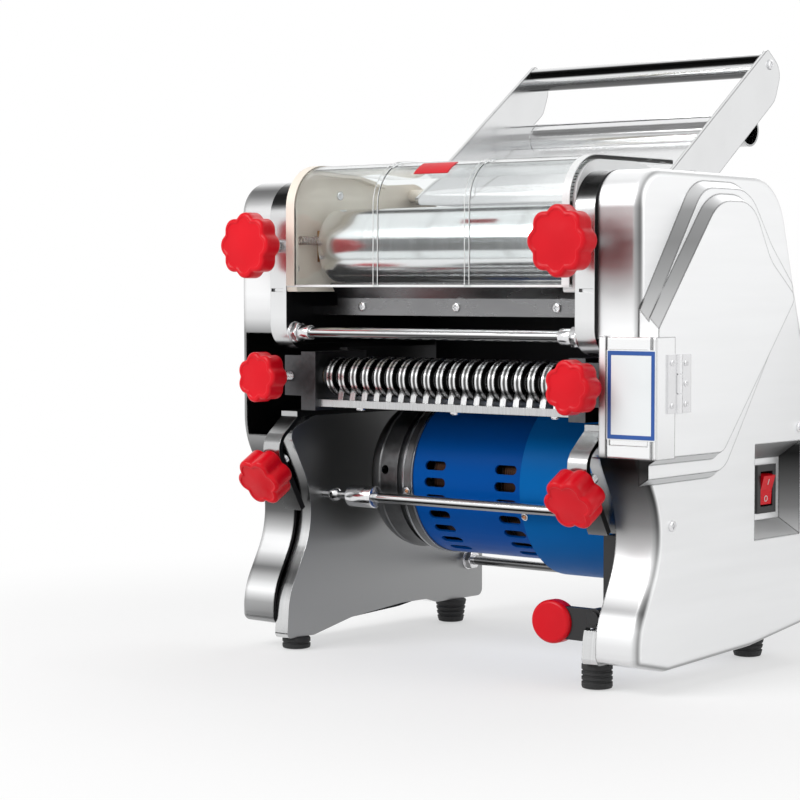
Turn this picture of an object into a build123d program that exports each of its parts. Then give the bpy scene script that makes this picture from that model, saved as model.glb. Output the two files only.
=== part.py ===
"""Electric dough sheeter and noodle cutter for a kitchen counter.

Two side frames carry a pair of dough rollers above a pair of intermeshing cutter rolls. A motor
between the stands drives both pairs through a gear train under the right-hand cover.

Modelling frame, in millimetres: X to the machine's right from the middle of the working width,
Y to the rear from the front of the side covers, Z up from the floor. The finished parts are
moved so that the origin lies under the middle of the whole machine.
"""

import os
from math import acos, atan2, cos, degrees, hypot, pi, radians, sin, sqrt, tan

from build123d import *

# Dough rollers
roller_length = 242.0
roller_radius = 28.4
roller_gap = 0.8  # thinnest sheet
gap_travel = 3.2  # how far the front roller opens
front_roller_y = 45.0
roller_z = 312.0
journal_radius = 10.0
block_side = 30.0  # square bearing block of the front roller
slide_clearance = 0.3
roller_end_room = 14.5  # end of a roller to the inner edge of the frame's rim
journal_end_room = 2.0  # how far each journal stays inside or stands out

# Side frames and stands, placed outwards from the rollers
frame_depth = 16.5
panel_step = 3.5
rim_x = roller_length / 2 + roller_end_room  # inner edge of each side frame's rim
seam_x = rim_x + frame_depth  # outer face of each side frame, where the cover starts
panel_x = rim_x + panel_step  # inner face of each polished stand panel
web_thickness = 8.0
web_x = seam_x - web_thickness
rim_thickness = 4.0
notch_top = 233.0  # top of the notch that takes the cutter unit
cover_top = roller_z + 50
frame_top = cover_top
frame_front = -3.0
cap_front = -2.5
cap_top = roller_z + 58
cap_rear = 176.0
body_depth = 245.0
panel_sheet = 1.5
stand_top = 181.0
left_front_foot = 9.0  # foot heights
right_front_foot = 18.0
rear_foot_height = 19.0
front_foot_radius = 11.0
foot_x = panel_x + 6
right_front_foot_x = seam_x - front_foot_radius - 0.3  # clear of the gearbox cover
front_foot_y = 18.0
rear_foot_y = body_depth - 35

# Cutter rolls
disc_radius = 15.0
disc_width = 5.7
disc_pitch = 12.0
disc_count = int((roller_length - 14) / disc_pitch)
disc_mesh_clearance = 0.6  # disc edge to the other roll's core
disc_overlap = 5.0  # how deep the discs of one roll enter the other
finger_clearance = 0.6  # comb finger to the discs beside it
cutter_front_y = 30.0
cutter_z = 212.0
cutter_shaft_radius = 6.0
cutter_block_width = 14.5
cutter_block_inner_x = rim_x - 16
cutter_block_bottom, cutter_block_top = 186.0, 231.0
comb_bottom, comb_top = 189.0, 194.5
comb_screw_x, comb_screw_pitch = 5.0, 92.0

# Fits
running_fit = 0.05  # radial clearance of every turning shaft
side_gap = 0.5  # axial clearance beside moving pieces

# Gear train
train_module = 2.5
pinion_teeth = 14
lower_idler_teeth = 32
upper_idler_teeth = 28
roller_gear_teeth = 32
cutter_idler_teeth = 18
cutter_gear_teeth = 16
roller_pair_teeth = 18
cutter_pair_teeth = 16
pressure_angle = radians(20)
backlash = 0.35
train_room = 5.0  # side frame to the train
train_x = seam_x + train_room
train_width = 13.0
train_end = train_x + train_width
cutter_train_width = 6.0
roller_pair_x = train_end + 2
roller_pair_width = 9.0
roller_pair_end = roller_pair_x + roller_pair_width
stud_radius = 6.0

# Side covers, closed over the train
cover_wall = 2.5
cover_room = 1.5  # end of the roller journals to the cover
cover_edge_radius = 6.0
half_width = roller_pair_end + journal_end_room + cover_room + cover_wall

# Motor
motor_y = 120.0
motor_z = 133.0
motor_radius = 60.0
motor_wall = 2.0
casing_x0, casing_x1 = -62.0, 48.0
bell_x0 = -107.0
drum_radius = 70.0
drum_wall = 3.0
motor_shaft_radius = 8.0
stator_x0, stator_x1 = -28.0, 15.0
rotor_radius = 35.5
winding_length = 22.0
vent_length = 20.0
vent_width = 7.0
vent_columns_x = (-40.5, 26.8)
vent_first_angle = 11.3
vent_angle_step = 12.4
vent_rows = 7

# Handle, chute and guard
arm_x = roller_length / 2 - 9  # inner face of each handle arm
arm_thickness = 3.0
grip_y, grip_z = 283.0, 455.0
grip_radius = 9.5
guide_y, guide_z = grip_y - 21, grip_z - 52
guide_radius = 13.0
tube_wall = 1.5
chute_sheet = 1.5
arm_slope = radians(36.5)
guard_thickness = 3.0
guard_half_width = rim_x - 2.5
guard_bottom = 281.0
guard_rear = 122.0
guard_rib_x = 43.0
cap_plate = 3.5
cap_rim = 3.0
cap_rim_depth = 7.0

# Knobs: thread, size and how far each stands in front of the frame
knob_x = rim_x + 10
thickness_knob_radius = 25.0
thickness_knob_y = -25.0
thickness_screw_radius = 5.0
screw_socket_depth = 4.5  # socket in the bearing block
screw_end_gap = 3.8  # screw tip to the socket's floor with the rollers closed
cutter_knob_radius = 19.5
cutter_knob_y = -11.3
cutter_stud_length = 29.0
clamp_knob_radius = 20.5
clamp_stud_length = 14.0
clamp_screw_radius = 4.0
knob_hub_depth = 3.0

# Tie rods
rod_radius = 4.0
neck_radius = 3.0  # left end of the middle rod
rod_clearance = 0.1
upper_rod = (6.0, 246.0)
middle_rod = (44.5, 119.0)
rear_rod = (body_depth - 19, 51.0)
nut_across_flats = 14.0
nut_height = 7.0
ball_radius = 5.5

# Gearbox cover relief, service flap, switch, lever
relief_step = 8.0
relief_taper = 32.0
flap_bottom, flap_top = 164.0, 247.0
jamb_x = seam_x + 6
flap_x0 = jamb_x + 6.3
flap_front = -6.0
flap_thickness = 2.0
hinge_y = 19.5
hinge_bottom, hinge_top = 195.0, 235.0
hinge_pin_radius = 1.4
knuckle_radius = 2.8
switch_y, switch_z = 182.0, 131.0
switch_depth = 13.0
rocker_tilt = 10.0  # degrees either way
rocker_x = half_width - switch_depth - 2.0
lever_x, lever_z = panel_x + 5, 50.0
lever_reach = 32.0
lever_back_y = 41.0
lever_pin_radius = 3.0
inlet_x = half_width - 17
inlet_z = 73.0
capacitor_radius = 15.0
capacitor_length = 60.0

# Worked-out places
neck_y = (77.0, 190.0)  # where each frame's upper and lower halves join
neck_x = -panel_x + 27  # where the middle rod's neck starts
ball_x = -panel_x + 11
rear_roller_y = front_roller_y + 2 * roller_radius + roller_gap
cutter_spacing = 2 * disc_radius - disc_overlap
core_radius = cutter_spacing - disc_radius - disc_mesh_clearance
cutter_rear_y = cutter_front_y + cutter_spacing
relief_x = half_width + 2 * relief_step
hinge_x = relief_x + knuckle_radius + 0.4


# ---------------------------------------------------------------- helpers


def outline(corners):
    """Closed face in the YZ sense from (y, z, corner radius) triples."""
    path = FilletPolyline(*[c[:2] for c in corners], radius=[c[2] for c in corners], close=True)
    return make_face(path)


def slab(face, x0, x1):
    """Extrudes a side-view face from x0 to x1."""
    low, high = min(x0, x1), max(x0, x1)
    return extrude(Plane.YZ.offset(low) * face, amount=high - low)


def block(x0, x1, y0, y1, z0, z1):
    """Box between the given limits."""
    return Pos((x0 + x1) / 2, (y0 + y1) / 2, (z0 + z1) / 2) * Box(x1 - x0, y1 - y0, z1 - z0)


def rod_x(y, z, radius, x0, x1):
    """Round bar along X."""
    return Pos((x0 + x1) / 2, y, z) * (Rot(0, 90, 0) * Cylinder(radius, x1 - x0))


def rod_y(x, z, radius, y0, y1):
    """Round bar along Y."""
    return Pos(x, (y0 + y1) / 2, z) * (Rot(90, 0, 0) * Cylinder(radius, y1 - y0))


def turned(y, z, profile):
    """Solid of revolution about a line along X, from (x, radius) points."""
    face = make_face(Polyline(*profile, close=True))
    return Pos(0, y, z) * revolve(face, Axis.X)


def other_side(part):
    """The left-hand twin of a right-hand part."""
    return mirror(part, about=Plane.YZ)


# ---------------------------------------------------------------- outlines seen from the side


def cover_corners(inset):
    """Side cover: full front at the top, waisted and bulging front below."""
    return [
        (inset, 21 + inset, 5),
        (inset - 1, 44, 58),
        (33 + inset, 107, 68),
        (1 + inset, 166, 60),
        (inset, cover_top - inset, 26),
        (body_depth - 62 - inset, cover_top - 1 - inset, 45),
        (body_depth - 39 - inset, 282, 60),
        (body_depth - inset, 160, 60),
        (body_depth - inset, 30 + inset, 12),
        (body_depth - 95, 18 + inset, 60),
        (38, 13 + inset, 20),
    ]


def stand_corners(inset, front_foot):
    """Polished stand panel: the same waisted front, a little further back."""
    return [
        (1 + inset, front_foot + inset, 4),
        (3.5 + inset, 42, 50),
        (37.5 + inset, 107, 68),
        (3 + inset, 170 - inset, 8),
        (34, stand_top - inset, 30),
        (body_depth - inset, stand_top - inset, 16),
        (body_depth - inset, rear_foot_height + inset, 6),
        (body_depth - 61, rear_foot_height + inset, 6),
        (body_depth - 75, rear_foot_height + 4 + inset, 6),
        (body_depth - 107, rear_foot_height + 4 + inset, 30),
        (76, (front_foot + rear_foot_height) / 2 + 4 + inset, 30),
        (32, front_foot + inset, 6),
    ]


def upper_frame_corners(inset):
    """Upper half of a side frame, from the cutter notch to the top."""
    return [
        (frame_front + inset, notch_top + inset, 19 - inset),
        (frame_front + inset, frame_top - inset, 28 - inset),
        (148, frame_top - 1 - inset, 30),
        (186 - inset, frame_top - 27 - inset, 20),
        (196 - inset, notch_top + inset, 2),
    ]


def cap_corners(inset):
    """Moulded roller end cap."""
    return [
        (cap_front + inset, 277 + inset, 2),
        (cap_front + inset, cap_top - inset, 30 - inset),
        (72, cap_top - inset, 25),
        (104, cap_top - 7 - inset, 25),
        (150, cap_top - 3 - inset, 20),
        (cap_rear - inset, cap_top - 20 - inset, 12),
        (cap_rear - inset, 277 + inset, 6),
    ]


def relief_outer_corners():
    """First step of the gearbox cover's raised field."""
    return [
        (-12, 145, 0),
        (-12, 249, 0),
        (64, 355, 30),
        (130, 355, 40),
        (162, 314, 34),
        (198, 280, 14),
        (98, 146, 26),
    ]


def relief_inner_corners():
    """Second step of the raised field."""
    return [
        (-12, 160, 0),
        (-12, 246, 0),
        (72, 346, 38),
        (122, 346, 34),
        (148, 303, 30),
        (187, 274, 12),
        (84, 160, 16),
    ]


# ---------------------------------------------------------------- gears


def meet(c1, r1, c2, r2, side):
    """Centre of a gear that runs with two others: radii from both centres, on the chosen side."""
    dy, dz = c2[0] - c1[0], c2[1] - c1[1]
    d = hypot(dy, dz)
    along = (d * d + r1 * r1 - r2 * r2) / (2 * d)
    off = side * sqrt(r1 * r1 - along * along)
    return (c1[0] + (along * dy - off * dz) / d, c1[1] + (along * dz + off * dy) / d)


def meshed_phase(c1, teeth1, phase1, c2, teeth2):
    """Phase of gear 2 that puts its gaps over the teeth of gear 1 on the line of centres."""
    angle = atan2(c2[1] - c1[1], c2[0] - c1[0])
    turn = (angle - phase1) * teeth1 / (2 * pi)
    return angle + pi - (0.5 - turn) * 2 * pi / teeth2


def involute(angle):
    return tan(angle) - angle


def gear(centre, teeth, module, phase, x0, x1, bore):
    """Spur gear along X. Flanks are straight from root to tip, inside the involute."""
    pitch_r = teeth * module / 2
    base_r = pitch_r * cos(pressure_angle)
    root_r, tip_r = pitch_r - 1.25 * module, pitch_r + 0.95 * module
    half_pitch = (pi * module / 2 - backlash) / (2 * pitch_r)

    def half_angle(radius):
        at = acos(min(1.0, base_r / radius))
        return half_pitch + involute(pressure_angle) - involute(at)

    wide, narrow = half_angle(max(root_r, base_r)), half_angle(tip_r)
    points = []
    for tooth in range(teeth):
        middle = phase + tooth * 2 * pi / teeth
        for radius, angle in ((root_r, -wide), (tip_r, -narrow), (tip_r, narrow), (root_r, wide)):
            points.append((radius * cos(middle + angle), radius * sin(middle + angle)))
    wheel = slab(make_face(Polyline(*points, close=True)), x0, x1) - rod_x(0, 0, bore, x0 - 1, x1 + 1)
    return Pos(0, *centre) * wheel


rear_roller_axis = (rear_roller_y, roller_z)
front_roller_axis = (front_roller_y, roller_z)
front_cutter_axis = (cutter_front_y, cutter_z)
rear_cutter_axis = (cutter_rear_y, cutter_z)
motor_axis = (motor_y, motor_z)


def pitch_radius(teeth):
    return teeth * train_module / 2


roller_pair_module = (rear_roller_y - front_roller_y) / roller_pair_teeth
cutter_pair_module = cutter_spacing / cutter_pair_teeth
lower_idler_reach = pitch_radius(pinion_teeth) + pitch_radius(lower_idler_teeth)
lower_idler_angle = radians(58.5)
lower_idler_axis = (
    motor_y + lower_idler_reach * cos(lower_idler_angle),
    motor_z + lower_idler_reach * sin(lower_idler_angle),
)
upper_idler_axis = meet(
    lower_idler_axis,
    pitch_radius(lower_idler_teeth) + pitch_radius(upper_idler_teeth),
    rear_roller_axis,
    pitch_radius(roller_gear_teeth) + pitch_radius(upper_idler_teeth),
    -1,
)
cutter_idler_axis = meet(
    lower_idler_axis,
    pitch_radius(lower_idler_teeth) + pitch_radius(cutter_idler_teeth),
    rear_cutter_axis,
    pitch_radius(cutter_gear_teeth) + pitch_radius(cutter_idler_teeth),
    1,
)
roller_gear_phase = 0.0
upper_idler_phase = meshed_phase(
    rear_roller_axis, roller_gear_teeth, roller_gear_phase, upper_idler_axis, upper_idler_teeth
)
lower_idler_phase = meshed_phase(
    upper_idler_axis, upper_idler_teeth, upper_idler_phase, lower_idler_axis, lower_idler_teeth
)
pinion_phase = meshed_phase(
    lower_idler_axis, lower_idler_teeth, lower_idler_phase, motor_axis, pinion_teeth
)
cutter_idler_phase = meshed_phase(
    lower_idler_axis, lower_idler_teeth, lower_idler_phase, cutter_idler_axis, cutter_idler_teeth
)
cutter_gear_phase = meshed_phase(
    cutter_idler_axis, cutter_idler_teeth, cutter_idler_phase, rear_cutter_axis, cutter_gear_teeth
)
roller_pair_phase = meshed_phase(
    rear_roller_axis, roller_pair_teeth, 0.0, front_roller_axis, roller_pair_teeth
)
cutter_pair_phase = meshed_phase(
    rear_cutter_axis, cutter_pair_teeth, 0.0, front_cutter_axis, cutter_pair_teeth
)
cutter_train_x = train_end - cutter_train_width
cutter_pair_end = cutter_train_x - side_gap


# ---------------------------------------------------------------- frames, stands and covers


def clamp_band():
    """Bowed front strap that carries a clamp knob below the cutter notch."""
    face = outline(
        [
            (9, stand_top, 0),
            (-16, 160, 16),
            (14, 108, 0),
            (18, 110.5, 0),
            (-11, 160.6, 12),
            (15, stand_top, 0),
        ]
    )
    return slab(face, rim_x, seam_x)


clamp_point = (-5.6, 142.0)
clamp_tilt = radians(30)  # the clamp knobs point this far below the horizontal


def clamp_axis(distance):
    """Point on a clamp knob's axis, measured outwards from the strap."""
    return (
        clamp_point[0] - distance * cos(clamp_tilt),
        clamp_point[1] - distance * sin(clamp_tilt),
    )


def front_foot_height(lever_side):
    return right_front_foot if lever_side else left_front_foot


def rod_places(lever_side):
    """Tie rods as (place, radius where they pass through this side)."""
    middle = rod_radius if lever_side else neck_radius
    return ((upper_rod, rod_radius), (middle_rod, middle), (rear_rod, rod_radius))


def side_frame(lever_side):
    """Cast side frame (right hand): web, rim, notch for the cutter unit, clamp strap."""
    foot = front_foot_height(lever_side)
    upper = slab(outline(upper_frame_corners(0)), rim_x, seam_x)
    upper -= slab(outline(upper_frame_corners(rim_thickness)), rim_x, web_x)
    middle = block(web_x, seam_x, 77, 194, stand_top, notch_top + rim_thickness)
    shelf = block(rim_x, seam_x, 9, 194, stand_top, stand_top + rim_thickness)
    lower = slab(outline(stand_corners(panel_sheet + 0.2, foot)), web_x, seam_x)
    neck = block(web_x, seam_x, *neck_y, stand_top - 2 * rim_thickness, stand_top + rim_thickness)
    frame = upper + middle + shelf + lower + neck + clamp_band()
    boss_reach = panel_x + panel_sheet
    for y, z in ((30, 32), (body_depth - 30, 65), (body_depth - 30, 160), (60, 165)):
        frame += rod_x(y, z, 7, boss_reach, web_x)
    frame += rod_x(*upper_rod, rod_radius + 2.5, rim_x, web_x)
    frame += rod_x(*middle_rod, rod_radius + 3, boss_reach, web_x)
    frame += rod_x(*rear_rod, rod_radius + 3, boss_reach, web_x)
    # bearing block slot, its adjusting screw and the fixed bearing
    half = block_side / 2
    frame -= block(
        web_x - 1,
        seam_x + 1,
        front_roller_y - half - gap_travel - side_gap,
        front_roller_y + half + slide_clearance,
        roller_z - half - slide_clearance,
        roller_z + half + slide_clearance,
    )
    screw_clear = thickness_screw_radius + 0.5
    frame -= rod_y(knob_x, roller_z, screw_clear, frame_front + rim_thickness, front_roller_y - half)
    fit = thickness_screw_radius + running_fit
    frame -= rod_y(knob_x, roller_z, fit, frame_front - 1, frame_front + rim_thickness + 1)
    frame -= rod_x(*rear_roller_axis, journal_radius + 4, web_x - 1, seam_x + 1)
    for rod, radius in rod_places(lever_side):
        frame -= rod_x(*rod, radius + rod_clearance, rim_x - 1, seam_x + 1)
    hole = Plane(
        origin=(knob_x, *clamp_axis(-12)), z_dir=(0, -cos(clamp_tilt), -sin(clamp_tilt))
    ) * Cylinder(clamp_screw_radius + running_fit, 50)
    frame -= hole
    frame -= block(panel_x, seam_x - 1, frame_front - 1, frame_front + 2, 277, 279.5)
    if lever_side:
        frame -= rod_x(*motor_axis, motor_shaft_radius + 8, web_x - 5, seam_x + 1)
        frame -= rod_x(*motor_axis, drum_radius + 1, rim_x - 1, panel_x + panel_sheet)
        frame -= block(rim_x, seam_x + 1, -5, lever_back_y, lever_z - 8, 107.9)
    return frame


def stand_panel(lever_side):
    """Polished stand panel (right hand): a shallow tray over the frame's lower web."""
    foot = front_foot_height(lever_side)
    tray = slab(outline(stand_corners(0, foot)), panel_x, seam_x)
    tray -= slab(outline(stand_corners(panel_sheet, foot)), panel_x + panel_sheet, seam_x)
    y0, y1 = neck_y[0] - slide_clearance, neck_y[1] + slide_clearance
    tray -= block(web_x - slide_clearance, seam_x, y0, y1, stand_top - panel_sheet - 0.1, stand_top)
    for rod, radius in rod_places(lever_side):
        tray -= rod_x(*rod, radius + rod_clearance, panel_x - 1, panel_x + 5)
    if lever_side:
        tray -= rod_x(*motor_axis, motor_shaft_radius + 12, panel_x - 1, web_x)
        tray -= block(panel_x - 1, seam_x + 1, -5, lever_back_y, lever_z - 8, 108)
    return tray


def cover_shell():
    """Plain side cover (right hand) with its front window."""
    outer = slab(outline(cover_corners(0)), seam_x, half_width)
    outer = fillet(outer.faces().sort_by(Axis.X)[-1].edges(), cover_edge_radius)
    cavity = slab(outline(cover_corners(cover_wall)), seam_x, half_width - cover_wall)
    window = block(seam_x - 1, half_width - 6, -5, 12, flap_bottom + 2, flap_top - 2)
    return outer - cavity - window


def switch_pocket(grow, floor_x):
    """Funnel-shaped recess round the mains switch, from the cover's side to its floor."""
    wide = Plane.YZ.offset(half_width + grow) * Pos(switch_y, switch_z) * Rectangle(
        64 + 2 * grow, 70 + 2 * grow
    )
    narrow = Plane.YZ.offset(floor_x) * Pos(switch_y + 2, switch_z) * Rectangle(
        42 + 2 * grow, 46 + 2 * grow
    )
    return loft([wide.face(), narrow.face()])


def raised_field(corners, x0, cut):
    """One tapered step of the relief. cut shrinks it for the hollow behind."""
    face = outline(corners)
    if cut:
        face = offset(face, -cut)
        return slab(face, seam_x, x0 + relief_step - cover_wall)
    return extrude(Plane.YZ.offset(x0) * face, amount=relief_step, taper=relief_taper)


def gearbox_cover():
    """Right cover: shell, stepped relief over the gear train, switch pocket, inlet opening."""
    cover = cover_shell()
    low = raised_field(relief_outer_corners(), half_width, 0)
    high = raised_field(relief_inner_corners(), half_width + relief_step, 0)
    cover += (low + high) & block(half_width - 1, relief_x + 1, 0, 300, 100, 370)
    hollow = raised_field(relief_outer_corners(), half_width, 8)
    hollow += raised_field(relief_inner_corners(), half_width + relief_step, 9)
    room = block(seam_x - 1, relief_x, cover_wall, 200, 150, cover_top - 6)
    cover -= hollow & room & slab(outline(cover_corners(cover_wall)), seam_x, relief_x)
    floor_x = half_width - switch_depth
    pocket_body = switch_pocket(cover_wall, floor_x - cover_wall)
    inside = slab(outline(cover_corners(cover_wall / 2)), seam_x, half_width - 1)
    cover += pocket_body & inside
    cover -= switch_pocket(0, floor_x)
    cover -= block(floor_x - 10, floor_x + 1, switch_y - 9, switch_y + 13, switch_z - 15, switch_z + 15)
    cover -= block(inlet_x - 13, inlet_x + 13, body_depth - 5, body_depth + 5, inlet_z - 12, inlet_z + 12)
    # fixed jamb behind the cutter knob, which the flap closes against
    return cover + block(jamb_x, flap_x0 - side_gap, flap_front, 2, flap_bottom, flap_top)


def rubber_feet():
    """Four feet: short ones in front, tall tapered ones at the rear."""
    feet = []
    for side in (-1, 1):
        height = front_foot_height(side > 0)
        x = right_front_foot_x if side > 0 else -foot_x
        feet.append(Pos(x, front_foot_y, height / 2) * Cylinder(front_foot_radius, height))
        rear = Cone(10.5, 13, rear_foot_height)
        feet.append(Pos(side * foot_x, rear_foot_y, rear_foot_height / 2) * rear)
    return feet


# ---------------------------------------------------------------- rollers and their bearings


def dough_roller(axis):
    """Ground roller with journals; the right journal is long and carries the gears."""
    half = roller_length / 2
    chamfer_size = 1.5
    left_end = -seam_x + journal_end_room
    right_end = roller_pair_end + journal_end_room
    profile = [
        (left_end, 0),
        (left_end, journal_radius),
        (-half, journal_radius),
        (-half, roller_radius - chamfer_size),
        (-half + chamfer_size, roller_radius),
        (half - chamfer_size, roller_radius),
        (half, roller_radius - chamfer_size),
        (half, journal_radius),
        (right_end, journal_radius),
        (right_end, 0),
    ]
    return turned(*axis, profile)


def bearing_block():
    """Sliding block of the front roller (right hand), drilled for journal and screw end."""
    half = block_side / 2
    front, bottom = front_roller_y - half, roller_z - half
    body = block(rim_x + 1.5, seam_x + 1.5, front, front + block_side, bottom, bottom + block_side)
    body -= rod_x(*front_roller_axis, journal_radius + running_fit, rim_x, seam_x + 2)
    screw_room = thickness_screw_radius + 0.4
    return body - rod_y(knob_x, roller_z, screw_room, front - 1, front + screw_socket_depth)


def bush(axis, inner, outer, x0, x1):
    return rod_x(*axis, outer, x0, x1) - rod_x(*axis, inner + running_fit, x0 - 1, x1 + 1)


def bronze_bushes():
    """Bushes of the rear roller and of both cutter rolls."""
    bushes = []
    block_outer = cutter_block_inner_x + cutter_block_width
    for sign in (-1, 1):
        lo, hi = sorted((sign * web_x, sign * seam_x))
        bushes.append(bush(rear_roller_axis, journal_radius, journal_radius + 4, lo, hi))
        lo, hi = sorted((sign * cutter_block_inner_x, sign * block_outer))
        for axis in (front_cutter_axis, rear_cutter_axis):
            bushes.append(bush(axis, cutter_shaft_radius, cutter_shaft_radius + 3, lo, hi))
    return bushes


# ---------------------------------------------------------------- cutter unit


def cutter_roll(axis, first_disc_x, discs, right_end):
    """Roll with square-edged discs on a slimmer core."""
    end_x = cutter_block_inner_x - side_gap
    shaft_left = -(cutter_block_inner_x + cutter_block_width)
    profile = [(shaft_left, 0), (shaft_left, cutter_shaft_radius), (-end_x, cutter_shaft_radius)]
    profile.append((-end_x, core_radius))
    for disc in range(discs):
        middle = first_disc_x + disc * disc_pitch
        left, right = middle - disc_width / 2, middle + disc_width / 2
        profile += [(left, core_radius), (left, disc_radius), (right, disc_radius), (right, core_radius)]
    profile += [(end_x, core_radius), (end_x, cutter_shaft_radius)]
    profile += [(right_end, cutter_shaft_radius), (right_end, 0)]
    return turned(*axis, profile)


scraper_offset = 9.0  # scraper strip, in front of its roller's axis
front_disc_x = -disc_pitch * (disc_count - 1) / 2
rear_disc_x = front_disc_x + disc_pitch / 2
rear_disc_count = disc_count - 1


def cutter_block():
    """End block of the cutter unit (right hand) with the ear its clamp knob goes through."""
    outer_x = cutter_block_inner_x + cutter_block_width
    body = block(
        cutter_block_inner_x, outer_x, 12, cutter_rear_y + 17, cutter_block_bottom, cutter_block_top
    )
    ear = block(outer_x, seam_x - 1, 12, 19, 197, 228)
    body += ear
    for axis in (front_cutter_axis, rear_cutter_axis):
        body -= rod_x(*axis, cutter_shaft_radius + 3, cutter_block_inner_x - 1, outer_x + 1)
    body -= rod_y(knob_x, cutter_z, clamp_screw_radius + running_fit, 11, 20)
    return body


def comb(axis_y, other_y, first_groove_x, grooves, facing):
    """Comb under one roll: a bar with a finger in each groove, reaching towards the nip."""
    bar = block(
        -cutter_block_inner_x,
        cutter_block_inner_x,
        *sorted((axis_y - facing * 14, axis_y + facing * 2)),
        comb_bottom,
        comb_top,
    )
    finger_width = disc_pitch - disc_width - 2 * finger_clearance
    reach = core_radius + 0.4
    side = [
        (axis_y - facing * 9, comb_top - 1),
        (axis_y + facing * 2, comb_top - 1),
        (axis_y + facing * 9, cutter_z - reach - 2.5),
        (axis_y + facing * 7.5, cutter_z - reach + 2.2),
        (axis_y, cutter_z - reach),
        (axis_y - facing * 7, cutter_z - reach + 1.5),
    ]
    face = make_face(Polyline(*side, close=True))
    for groove in range(grooves):
        middle = first_groove_x + groove * disc_pitch
        bar += slab(face, middle - finger_width / 2, middle + finger_width / 2)
    return bar


# ---------------------------------------------------------------- scrapers, panel and tie rods


def scraper(axis_y, facing):
    """Bent scraper strip below a roller; facing is +1 where the roller lies behind it."""
    start = axis_y - facing * scraper_offset
    side = [
        (start, 259),
        (start, 272),
        (start - facing * 7, 283),
        (start - facing * 5.8, 284),
        (start + facing * 2, 273),
        (start + facing * 2, 259),
    ]
    end_x = roller_length / 2 - 3
    strip = slab(make_face(Polyline(*side, close=True)), -end_x, end_x)
    y0, y1 = sorted((start, start + facing * 2))
    for sign in (-1, 1):
        x0, x1 = sorted((sign * (end_x - 1), sign * web_x))
        strip += block(x0, x1, y0, y1, 259, 266)
    return strip


def rear_panel():
    """Sheet that closes the back between the frames, with a folded foot."""
    y, inner = cap_rear + 2, rim_x - side_gap
    sheet = block(-inner, inner, y, y + 1.5, 206, 343)
    sheet += block(-web_x, web_x, y, y + 1.5, notch_top + 12, 300)
    return sheet + block(-inner, inner, y - 25, y + 1.5, 204.5, 206)


def tie_rods():
    """Three rods. The middle one ends on the left in a neck with a drilled ball."""
    end = seam_x - 1
    rods = [rod_x(*at, rod_radius, -end, end) for at in (upper_rod, rear_rod)]
    y, z = middle_rod
    middle = rod_x(y, z, rod_radius, neck_x, end) + rod_x(y, z, neck_radius, -end, neck_x)
    middle += Pos(ball_x, y, z) * Sphere(ball_radius)
    middle -= rod_y(ball_x, z, ball_radius / 3, y - 2 * ball_radius, y + 2 * ball_radius)
    return rods + [middle]


def hex_nut(y, z, x0, x1):
    """Nut with its washer against the wall at x0."""
    direction = 1 if x1 > x0 else -1
    ring = rod_x(y, z, nut_across_flats / 2 + 1.5, *sorted((x0, x0 + direction * 1.2)))
    across = nut_across_flats / (2 * cos(pi / 6))
    body = slab(Pos(y, z) * RegularPolygon(across, 6), x0 + direction * 1.2, x1)
    hole = rod_radius + rod_clearance
    return ring + body - rod_x(y, z, hole, *sorted((x0 - direction, x1 + direction)))


def tie_rod_nuts():
    nuts = []
    for (y, z), wall in ((upper_rod, rim_x), (rear_rod, panel_x)):
        for sign in (-1, 1):
            nuts.append(hex_nut(y, z, sign * wall, sign * (wall - nut_height)))
    # the middle rod is set from its left end, with two nuts and a sleeve
    first, second = neck_x + 1, neck_x + 1 + nut_height
    nuts.append(hex_nut(*middle_rod, first, second))
    nuts.append(hex_nut(*middle_rod, second, second + nut_height))
    sleeve_x0 = second + nut_height
    sleeve = rod_x(*middle_rod, rod_radius + 2.5, sleeve_x0, sleeve_x0 + 11)
    return nuts + [sleeve - rod_x(*middle_rod, rod_radius + rod_clearance, sleeve_x0, sleeve_x0 + 11)]


# ---------------------------------------------------------------- guard, caps, chute, handle


def end_cap():
    """Moulded cap (right hand) beside the rollers: plate, folded rim, spacers for the arm."""
    cap = slab(outline(cap_corners(0)), rim_x - cap_plate, rim_x)
    rim = slab(outline(cap_corners(0)), rim_x - cap_plate - cap_rim_depth, rim_x - cap_plate)
    rim -= slab(outline(cap_corners(cap_rim)), rim_x - cap_plate - cap_rim_depth, rim_x - cap_plate)
    inner, outer = rim_x - 30, rim_x + 5
    keep = block(inner, outer, -5, 104, roller_z - 12, cap_top + 10)
    keep += block(inner, outer, -5, 20, 277, cap_top + 10)
    cap += rim & keep
    for y, z in ((145, cap_top - 15), (167, cap_top - 14)):
        cap += rod_x(y, z, 6, arm_x + arm_thickness, rim_x - cap_plate)
    half = journal_radius + 2
    front, bottom = front_roller_y - half - gap_travel, roller_z - half
    cap -= block(inner, outer, front, front_roller_y + half, bottom, bottom + 2 * half)
    return cap - rod_x(*rear_roller_axis, half, inner, outer)


def roller_guard():
    """Clear guard bent over the rollers, with two raised ribs."""
    front, top = cap_front - guard_thickness, cap_top + guard_thickness
    corners = [
        (front, guard_bottom, 0),
        (front, top, 30 + guard_thickness),
        (guard_rear, top, 0),
        (guard_rear, top - guard_thickness, 0),
        (front + guard_thickness, top - guard_thickness, 30),
        (front + guard_thickness, guard_bottom, 0),
    ]
    guard = slab(outline(corners), -guard_half_width, guard_half_width)
    rib = [(y - 0.8 if y < 0 else y, z + 0.8 if z > cap_top else z, r) for y, z, r in corners]
    for x in (-guard_rib_x, guard_rib_x):
        guard += slab(outline(rib), x - 2.2, x + 2.2)
    return guard


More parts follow.
